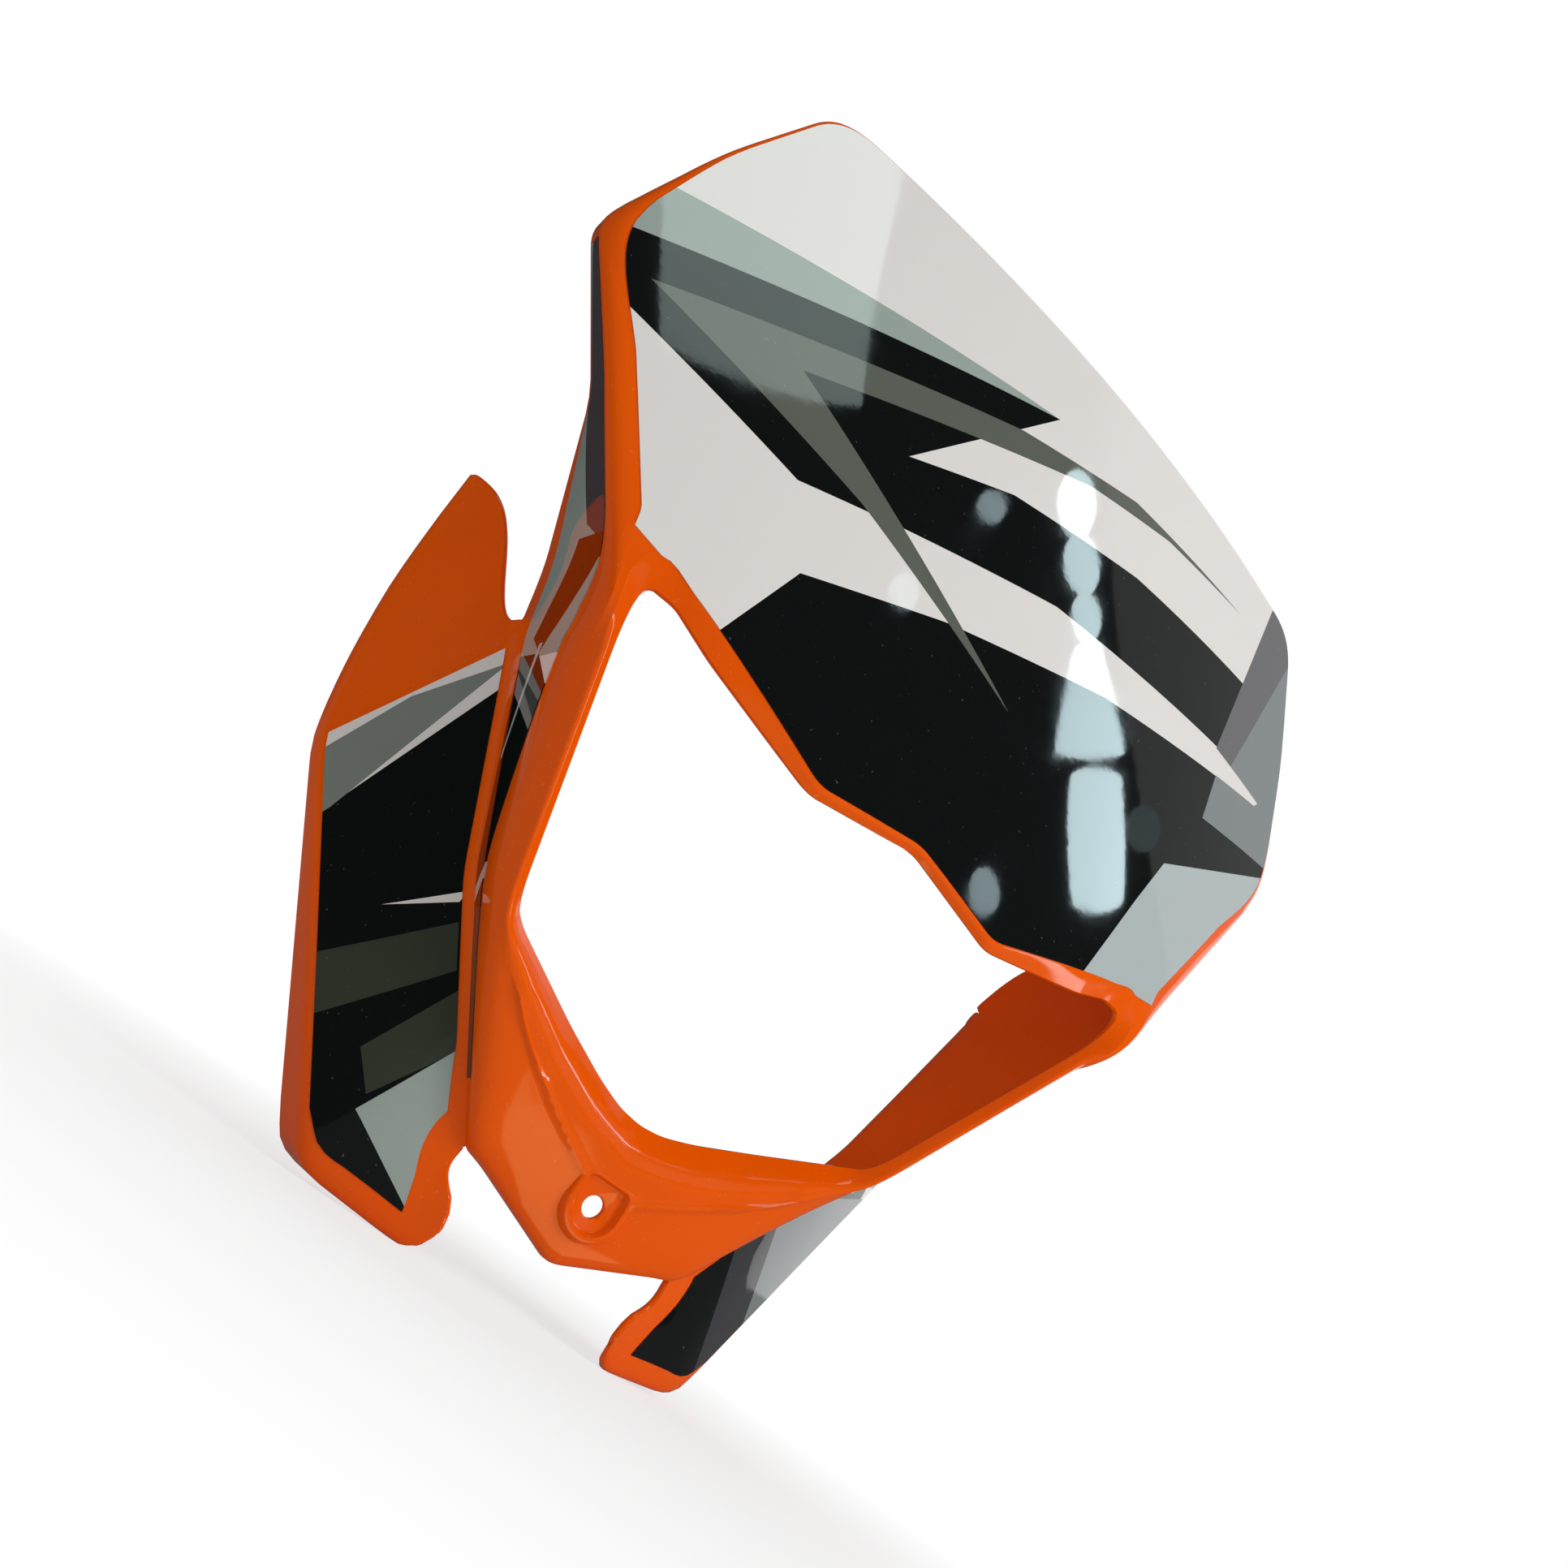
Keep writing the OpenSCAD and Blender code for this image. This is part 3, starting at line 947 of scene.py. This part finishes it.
    def _outer_rows(self, s: np.ndarray, side: np.ndarray, back: np.ndarray) -> list[np.ndarray]:
        """Gives a wing's rows, from the valley to its turned rim."""
        reach = np.minimum(0.06, np.minimum(s - self.EAR_START, self.CHIN_CORNER - s))
        outer = self.outer.eased(s, np.maximum(reach, 0))
        flange = self.flange_depth - self.wall - 1
        depth = self.wall + 1 + table(
            s, (3.12, 0), (3.4, 2), (4.5, flange), (4.65, flange), (4.8, 4), (5, 0)
        )
        rim = outer + np.stack([0.1 * depth, depth, 0 * depth], axis=-1)
        cut, width = np.minimum(3, 0.7 * depth), length(outer - back)
        start = self.VALLEY_CUT / width
        stop = 1 - table(s, (4.5, 3), (4.7, 8), (5, 8)) / width
        panel_in, panel_out = self._panel(s, back, outer, start), self._panel(s, back, outer, stop)
        rim_out = blend(outer, rim, column(cut / depth))
        count = 2 * self.VALLEY_BENDS
        rows = [curve(side, back, panel_in, k / count) for k in range(1, count)]
        shares = np.linspace(0, 1, self.PANEL_ROWS + 1)
        rows += [self._panel(s, back, outer, blend(start, stop, t)) for t in shares]
        bends = self.RIM_BENDS
        rows += [curve(panel_out, outer, rim_out, k / bends) for k in range(1, bends)]
        rows += [blend(rim_out, rim, t) for t in (0, 0.25, 0.5, 0.75, 1)]
        return rows

    def _ring(self) -> list[np.ndarray]:
        """Gives every spoke's points, all the way round."""
        s = self.stations
        inner, back = self._inner_rows(s)
        winged = np.clip(s, self.EAR_START, self.CHIN_CORNER)
        outer = self._outer_rows(winged, inner[-1], back)
        rest = self.back_row - self.side_last
        plain = [blend(inner[-1], back, k / rest) for k in range(1, rest + 1)]
        has_wing = (s > self.EAR_START - 0.001) & (s < self.CHIN_CORNER + 0.001)
        half = []
        for i, wing in enumerate(has_wing):
            rows = inner + (outer if wing else plain)
            half.append(np.array([row[i] for row in rows]))
        mirror = [spoke * np.array([-1, 1, 1]) for spoke in half[-2:0:-1]]
        return half + mirror

    def _normals(self) -> list[np.ndarray]:
        """Gives the outward direction at every point, from its neighbours."""
        count = len(self.ring)
        found = []
        for i, spoke in enumerate(self.ring):
            before, after = self.ring[i - 1], self.ring[(i + 1) % count]
            rows = len(spoke)
            low, high = spoke.copy(), spoke.copy()
            low[: min(rows, len(before))] = before[:rows]
            high[: min(rows, len(after))] = after[:rows]
            across = high - low
            along = np.vstack([spoke[1:], spoke[-1:]]) - np.vstack([spoke[:1], spoke[:-1]])
            n = np.cross(across, along)
            found.append(n / np.maximum(length(n), 1e-9)[:, None])
        return found

    def nearest(self, station: float) -> int:
        """Gives the spoke that stands at a station."""
        return int(np.argmin(np.abs(self.stations - station)))


@dataclass
class Sheet:
    """A closed wall between two skins over part of the form's grid.

    Attributes:
        form: The form that gives the grid.
        spokes: Spokes taken, in rising order round the ring.
        first: The first row.
        last: The last row.
        high: Height of the upper skin above the form.
        low: Height of the lower skin.
        closed: Whether the spokes go all the way round.
        nose: How far a free edge is rounded out.
    """

    form: FairingForm
    spokes: list[int]
    first: int
    last: int
    high: float
    low: float
    closed: bool
    nose: float

    NOSE_STEPS = 3

    def __post_init__(self) -> None:
        """Works out the points and the faces."""
        form, self.points, self.faces, self.kinds = self.form, [], [], []
        rows, rises = [], []
        for i in self.spokes:
            stop = min(self.last, len(form.ring[i]) - 1) + 1
            rows.append(form.ring[i][self.first : stop])
            rises.append(form.normals[i][self.first : stop])
        self.counts = [len(r) for r in rows]
        self.starts = list(np.concatenate([[0], np.cumsum(self.counts)[:-1]]).astype(int))
        flat, rise = np.concatenate(rows), np.concatenate(rises)
        self.total = len(flat)
        self.points = [*(flat + rise * self.high), *(flat + rise * self.low)]
        self.directions = rise
        self._skins()
        self._edges()

    def _skins(self) -> None:
        """Adds the two skins' faces."""
        count = len(self.spokes)
        for i in range(count if self.closed else count - 1):
            k = (i + 1) % count
            for j in range(min(self.counts[i], self.counts[k]) - 1):
                a, b = self.starts[i] + j, self.starts[k] + j
                self.faces.append((a, b, b + 1, a + 1))
                self.kinds.append(0)
                n = self.total
                self.faces.append((a + n, a + 1 + n, b + 1 + n, b + n))
                self.kinds.append(1)

    def _runs(self) -> list[list[int]]:
        """Gives the free edges as closed runs of upper points."""
        owned: dict[tuple[int, int], int] = {}
        for quad, kind in zip(self.faces, self.kinds):
            if kind == 0:
                for a, b in zip(quad, quad[1:] + quad[:1]):
                    owned[(a, b)] = 1
        following = {a: b for a, b in owned if (b, a) not in owned}
        runs = []
        while following:
            start, here = next(iter(following.items()))
            run = [start]
            del following[start]
            while here != start:
                run.append(here)
                here = following.pop(here)
            runs.append(run)
        return runs

    def _edges(self) -> None:
        """Closes the free edges with a rounded nose."""
        n = self.total
        for run in self._runs():
            rings = [run]
            top = np.array([self.points[k] for k in run])
            under = np.array([self.points[k + n] for k in run])
            tangent = np.roll(top, -1, axis=0) - np.roll(top, 1, axis=0)
            out = np.cross(tangent, self.directions[run])
            out /= np.maximum(length(out), 1e-9)[:, None]
            for step in range(1, self.NOSE_STEPS + 1):
                t = step / (self.NOSE_STEPS + 1)
                bulge = self.nose * math.sin(math.pi * t) ** 0.6
                first = len(self.points)
                self.points.extend(blend(top, under, t) + out * bulge)
                rings.append(list(range(first, first + len(run))))
            rings.append([k + n for k in run])
            for upper, lower in zip(rings, rings[1:]):
                for a in range(len(run)):
                    b = (a + 1) % len(run)
                    self.faces.append((upper[b], upper[a], lower[a], lower[b]))
                    self.kinds.append(2)

    def mesh(self, name: str) -> bpy.types.Mesh:
        """Makes the mesh, in metres, with smooth faces.

        Args:
            name: The mesh's name.

        Returns:
            The new mesh, its inner skin in the second material slot.
        """
        mesh = make_mesh(name, [tuple(p * MM) for p in self.points], self.faces, smooth=True)
        mesh.polygons.foreach_set("material_index", [1 if k == 1 else 0 for k in self.kinds])
        mesh.validate()
        mesh.update()
        return mesh




# ---------------------------------------------------------------- pieces


@dataclass
class ChinSeat:
    """The flat-topped seat for the bolt, sunk in a raised rim.

    Attributes:
        hole: Radius of the bolt hole.
        seat: Radius of the sunk floor.
        flat: Height of the floor's straight upper side above the hole.
        square: How square the upper corners are.
        rim: Width of the raised rim.
        rise: Height of the rim above the floor.
        wall: Thickness behind the floor.
    """

    hole: float = 3.5
    seat: float = 8.0
    flat: float = 8.5
    square: float = 7.0
    rim: float = 2.5
    rise: float = 2.4
    wall: float = 2.5

    SIDES = 96

    def _outline(self, offset: float) -> list[Point]:
        """Gives a half circle with a square top, grown by an offset."""
        points = []
        for k in range(self.SIDES):
            angle = 2 * math.pi * k / self.SIDES
            radius = self.seat + offset
            wide, high = abs(math.cos(angle)), math.sin(angle)
            if high > 0:
                side = (wide / radius) ** self.square
                lid = (high / (self.flat + offset * 0.6)) ** self.square
                radius = (side + lid) ** (-1 / self.square)
            points.append((radius * math.cos(angle), radius * high))
        return points

    def _circle(self, radius: float) -> list[Point]:
        """Gives a circle as a run of points."""
        turns = [2 * math.pi * k / self.SIDES for k in range(self.SIDES)]
        return [(radius * math.cos(a), radius * math.sin(a)) for a in turns]

    def _stack(self, name: str, layers: list[tuple[list[Point], float]]) -> bpy.types.Object:
        """Makes a closed solid from outlines at given depths.

        Args:
            name: The object's name.
            layers: Outlines and their depths, from front to back.

        Returns:
            The solid.
        """
        points = [(x * MM, y * MM, z * MM) for outline, y in layers for x, z in outline]
        n, faces = self.SIDES, []
        for layer in range(len(layers) - 1):
            for k in range(n):
                a, b = layer * n + k, layer * n + (k + 1) % n
                faces.append((a, a + n, b + n, b))
        faces.append(tuple(range(n)))
        faces.append(tuple(reversed(range(len(points) - n, len(points)))))
        mesh = make_mesh(name, points, faces, smooth=True)
        mesh.update()
        return link(name, mesh)

    def boss(self) -> bpy.types.Object:
        """Makes the rim and the plastic behind the floor."""
        grow, top = self.rim, -self.rise
        layers = [
            (self._outline(grow * 0.45), top),
            (self._outline(grow * 0.7), top + 0.1),
            (self._outline(grow * 0.9), top + 0.4),
            (self._outline(grow), top + 0.9),
            (self._outline(grow * 1.3), 0.3),
            (self._outline(grow * 1.3), self.wall),
        ]
        return self._stack("seat_boss", layers)

    def recess(self) -> bpy.types.Object:
        """Makes the space sunk into the boss, down to the floor."""
        top = -self.rise
        layers = [
            (self._outline(0.6), top - 12),
            (self._outline(0.5), top),
            (self._outline(0.2), top + 0.3),
            (self._outline(-0.4), -0.6),
            (self._outline(-0.8), -0.15),
            (self._outline(-1.3), 0),
        ]
        return self._stack("seat_recess", layers)

    def bore(self) -> bpy.types.Object:
        """Makes the bolt hole with its eased mouth."""
        layers = [
            (self._circle(self.hole + 0.7), -0.01),
            (self._circle(self.hole + 0.15), 0.35),
            (self._circle(self.hole), 0.6),
            (self._circle(self.hole), self.wall + 8),
        ]
        return self._stack("seat_bore", layers)

    def cut_into(self, piece: bpy.types.Object) -> None:
        """Joins the boss to a piece, and cuts the recess and the hole.

        Args:
            piece: The moulding, which gets a new mesh.
        """
        tools = [("UNION", self.boss()), ("DIFFERENCE", self.recess()), ("DIFFERENCE", self.bore())]
        for operation, tool in tools:
            step = piece.modifiers.new("seat", "BOOLEAN")
            step.operation, step.object, step.solver = operation, tool, "EXACT"
        graph = bpy.context.evaluated_depsgraph_get()
        mesh = bpy.data.meshes.new_from_object(piece.evaluated_get(graph))
        piece.modifiers.clear()
        piece.data = mesh
        for _, tool in tools:
            spare = tool.data
            bpy.data.objects.remove(tool)
            bpy.data.meshes.remove(spare)


@dataclass
class Moulding:
    """The one-piece moulded shell.

    Attributes:
        form: Its shape.
        seat: The bolt's seat at the chin.
        nose: How far its edges are rounded out.
    """

    form: FairingForm
    seat: ChinSeat = field(default_factory=ChinSeat)
    nose: float = 0.7

    SHARP = 38
    OUTSIDE = MouldedPlastic(
        name="gloss_orange",
        colour=tone(248, 95, 0),
        deep=tone(241, 89, 0),
        roughness=0.09,
        smear=0.08,
        ripple=0.00006,
        grain=0.0000015,
    )
    INSIDE = MouldedPlastic(
        name="satin_orange",
        colour=tone(238, 84, 2),
        deep=tone(228, 77, 1),
        roughness=0.34,
        smear=0.12,
        ripple=0.00005,
        grain=0.00001,
    )

    def build(self) -> bpy.types.Object:
        """Builds and dresses the moulding.

        Returns:
            The shell, standing for its node.
        """
        form = self.form
        spokes = list(range(len(form.ring)))
        last = max(len(spoke) for spoke in form.ring) - 1
        sheet = Sheet(form, spokes, 0, last, 0, -form.wall, True, self.nose)
        piece = link("moulded_shell", sheet.mesh("moulded_shell"))
        self.seat.cut_into(piece)
        piece.data.set_sharp_from_angle(angle=math.radians(self.SHARP))
        piece.data.materials.clear()
        piece.data.materials.append(self.OUTSIDE.build())
        piece.data.materials.append(self.INSIDE.build())
        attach(piece, "root")
        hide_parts("shell")
        return piece


@dataclass
class FilmSet:
    """The five printed films that lie on the moulding.

    Attributes:
        form: The shape that they follow.
        thickness: How far a film stands above the plastic.
        sunk: How far its under side lies inside the plastic.
    """

    form: FairingForm
    thickness: float = 0.3
    sunk: float = 0.3

    SHARP = 50
    PLATE_RUN = (0, 2.88)
    WING_RUN = (3.4, 4.86)
    SIDE_RUN = (2.06, 4.76)

    def _half(self, start: float, stop: float, right: bool) -> list[int]:
        """Gives the spokes between two stations, on one side."""
        run = list(range(self.form.nearest(start), self.form.nearest(stop) + 1))
        count = len(self.form.ring)
        return [count - i for i in reversed(run)] if right else run

    def _film(self, layout: Print, spokes: list[int], first: int, last: int) -> bpy.types.Object:
        """Builds one film and dresses it.

        Args:
            layout: Which film it is.
            spokes: The spokes that it covers.
            first: Its first row.
            last: Its last row.

        Returns:
            The film, standing for its node.
        """
        sheet = Sheet(self.form, spokes, first, last, self.thickness, -self.sunk, False, 0.0)
        piece = link(layout.value.replace("decal", "film"), sheet.mesh(layout.value))
        piece.data.set_sharp_from_angle(angle=math.radians(self.SHARP))
        material = PrintedFilm(layout).build()
        piece.data.materials.append(material)
        piece.data.materials.append(material)
        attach(piece, "root")
        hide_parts(layout.value)
        return piece

    def build(self) -> list[bpy.types.Object]:
        """Builds all five films."""
        form = self.form
        plate = self._half(*self.PLATE_RUN, True) + self._half(*self.PLATE_RUN, False)
        spokes = [i % len(form.ring) for i in plate]
        spokes = [i for k, i in enumerate(spokes) if k == 0 or i != spokes[k - 1]]
        made = [self._film(Print.PLATE, spokes, form.face_first, form.fold_first)]
        for layout, right in ((Print.LEFT_WING, False), (Print.RIGHT_WING, True)):
            run = self._half(*self.WING_RUN, right)
            made.append(self._film(layout, run, form.panel_first, form.rim_first))
        for layout, right in ((Print.LEFT_SIDE, False), (Print.RIGHT_SIDE, True)):
            run = self._half(*self.SIDE_RUN, right)
            made.append(self._film(layout, run, form.side_first, form.side_last))
        return made


# ---------------------------------------------------------------- studio


@dataclass
class PhotoCamera:
    """The camera, where the photograph was taken from.

    Attributes:
        place: Its place, in metres.
        right: Direction of the picture's right side.
        down: Direction of the picture's lower side.
        ahead: Direction in which it looks.
        focal: Focal length over the picture's width.
    """

    place: tuple[float, float, float] = (-0.2435, -0.43878, 0.00341)
    right: tuple[float, float, float] = (0.677055, -0.500762, 0.539290)
    down: tuple[float, float, float] = (0.598644, -0.051466, -0.799360)
    ahead: tuple[float, float, float] = (0.428045, 0.864054, 0.264932)
    focal: float = 2000 / 1932

    SENSOR = 36.0
    NEAREST = 0.01

    def build(self) -> None:
        """Makes the scene's camera."""
        data = bpy.data.cameras.new("photo_camera")
        data.sensor_width = self.SENSOR
        data.lens = self.focal * self.SENSOR
        data.clip_start = self.NEAREST
        camera = link("photo_camera", data)
        axes = [Vector(self.right), -Vector(self.down), -Vector(self.ahead)]
        turn = Matrix([[axis[k] for axis in axes] for k in range(3)]).to_4x4()
        camera.matrix_world = Matrix.Translation(self.place) @ turn
        bpy.context.scene.camera = camera


@dataclass(frozen=True)
class Card:
    """A plain card or light panel, bent round the object and seen only in its gloss.

    Attributes:
        name: Its name.
        corners: Its four corners, as swing towards the left side and climb, in degrees.
        distance: How far off it stands, in metres.
        level: How bright it is.
        tint: Its colour.
        square: How much of its corners it keeps, from 0 for a disc to 1.
    """

    name: str
    corners: tuple[Point, Point, Point, Point]
    distance: float
    level: float
    tint: Colour = WHITE
    square: float = 1.0

    CENTRE = (0.0, 0.0, 0.2)
    STEPS = 24

    def _place(self, across: float, up: float) -> Vector:
        """Gives a point of the card from its shares of the width and the height."""
        wide, tall = 2 * across - 1, 2 * up - 1
        across += (wide * math.sqrt(1 - tall**2 / 2) - wide) / 2 * (1 - self.square)
        up += (tall * math.sqrt(1 - wide**2 / 2) - tall) / 2 * (1 - self.square)
        low = [blend(self.corners[0][k], self.corners[1][k], across) for k in range(2)]
        high = [blend(self.corners[3][k], self.corners[2][k], across) for k in range(2)]
        a, e = (math.radians(blend(low[k], high[k], up)) for k in range(2))
        way = Vector((math.sin(a) * math.cos(e), -math.cos(a) * math.cos(e), math.sin(e)))
        return Vector(self.CENTRE) + way * self.distance

    def build(self) -> None:
        """Makes the card, hidden from the camera, diffuse light, transmission and shadows."""
        steps = self.STEPS
        shares = [k / steps for k in range(steps + 1)]
        points = [self._place(across, up) for up in shares for across in shares]
        row = steps + 1
        faces = [
            (j * row + i, j * row + i + 1, (j + 1) * row + i + 1, (j + 1) * row + i)
            for j in range(steps)
            for i in range(steps)
        ]
        mesh = make_mesh(self.name, points, faces)
        mesh.materials.append(
            node_material(self.name, lambda graph: graph.glow(self.level, self.tint))
        )
        card = link(self.name, mesh)
        card.visible_camera = False
        card.visible_diffuse = False
        card.visible_transmission = False
        card.visible_shadow = False


def lamp_card(name: str, level: float, square: float, *corners: Point) -> Card:
    """Gives a bluish lamp as the gloss shows it."""
    return Card(name, corners, 11.0, level, tone(216, 242, 248), square)


@dataclass
class Studio:
    """Floor, background, lamps and cards round the object.

    Attributes:
        floor_z: Height of the floor, in metres.
        floor_half: Half the floor's width, in metres.
        ambient: Level of the light from all round.
    """

    floor_z: float
    floor_half: float = 4.0
    ambient: float = 0.40

    LAMP_AIM = (0, 0, 0.15)
    WINDOW = tone(226, 248, 242)
    CARDS = (
        Card("dark_card", ((-212, -4), (92, -4), (92, 89), (-212, 89)), 12.0, 0.03),
        Card("grey_card", ((84, 27), (112, 20), (100, 75), (46, 57)), 11.8, 0.35),
        Card("side_card", ((-100, -28), (-30, -28), (-30, 14), (-100, 14)), 0.55, 0.03),
        Card("window_panel", ((-17, 54.1), (11, 56.4), (-4, 66), (-56, 66)), 11.0, 2.8, WINDOW),
        lamp_card("bead_one", 11.0, 0.0, (45.9, 51.9), (51.2, 51.6), (48, 54.5), (42, 54.8)),
        lamp_card("bead_two", 11.0, 0.0, (49.4, 49.6), (54.5, 49.1), (51.3, 51.8), (45.7, 52.2)),
        lamp_card("bead_three", 11.0, 0.0, (52.4, 47.5), (56.5, 47.1), (54.2, 49.3), (49.7, 49.7)),
        lamp_card("drop_panel", 11.0, 0.75, (54.2, 42.9), (64.8, 41.7), (56.2, 47.3), (52.6, 47.5)),
        lamp_card("bar_panel", 11.0, 0.6, (62.4, 36), (70.2, 35), (64.5, 41.4), (56.6, 42.4)),
        lamp_card("spot_one", 5.0, 0.0, (33.4, 53), (37.6, 52.9), (35.8, 54.2), (31.6, 54.2)),
        lamp_card("spot_two", 5.0, 0.0, (50.1, 37), (53.8, 36.7), (51.8, 38.8), (48, 39.1)),
        lamp_card("spot_three", 3.0, 0.0, (26.6, 49.4), (30.4, 49.5), (28.3, 51), (24.4, 50.8)),
        lamp_card("spot_four", 0.6, 0.0, (68, 37.6), (72.9, 36.9), (71.1, 39), (66.2, 39.7)),
        Card("lip_panel", ((62, 0), (72, 0), (72, 8), (62, 8)), 11.0, 4.0, WINDOW, 0.0),
    )

    def _floor(self) -> None:
        """Makes the floor."""
        h, z = self.floor_half, self.floor_z
        corners = [(-h, -h, z), (h, -h, z), (h, h, z), (-h, h, z)]
        mesh = make_mesh("floor", corners, [(0, 1, 2, 3)])
        floor = link("floor", mesh)
        mesh.materials.append(StudioFloor().build())

    def _world(self) -> None:
        """Makes the white background and the light from all round."""
        world = bpy.data.worlds.new("studio")
        bpy.context.scene.world = world
        world.use_nodes = True
        graph = NodeGraph(world.node_tree)
        light, white = (
            graph.add("ShaderNodeBackground", None, {"Color": WHITE, "Strength": level})
            for level in (self.ambient, 1.0)
        )
        both = graph.layer(graph.rays("Camera", "Glossy", "Transmission"), light, white)
        graph.add("ShaderNodeOutputWorld", None, {"Surface": both})

    def _lamp(
        self, name: str, place: tuple[float, float, float], size: float, power: float
    ) -> None:
        """Makes one square lamp that faces the object.

        Args:
            name: Its name.
            place: Its place, in metres.
            size: Its side, in metres.
            power: Its power, in watts.
        """
        data = bpy.data.lights.new(name, "AREA")
        data.shape, data.size, data.energy = "SQUARE", size, power
        lamp = link(name, data)
        way = Vector(self.LAMP_AIM) - Vector(place)
        lamp.rotation_euler = way.to_track_quat("-Z", "Y").to_euler()
        lamp.location = place
        lamp.visible_glossy = False

    def build(self) -> None:
        """Builds the whole studio."""
        self._floor()
        self._world()
        self._lamp("key_lamp", (1.1, -1.6, 0.9), 1.2, 22)
        self._lamp("fill_lamp", (-1.4, -1.2, 0.9), 1.6, 3)
        for card in self.CARDS:
            card.build()


def main() -> None:
    """Builds the object and its studio, in order."""
    logging.basicConfig(level=logging.INFO, format="%(name)s: %(message)s")
    PhotoCamera().build()
    form = FairingForm()
    shell = Moulding(form).build()
    log.info("%s: %d faces", shell.name, len(shell.data.polygons))
    for film in FilmSet(form).build():
        log.info("%s: %d faces", film.name, len(film.data.polygons))
    low = min(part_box(node)[0][2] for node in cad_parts)
    Studio(floor_z=low).build()
    log.info("studio stands on a floor at %.4f m", low)
    bpy.context.scene.view_settings.view_transform = "Standard"


if __name__ == "__main__":
    main()
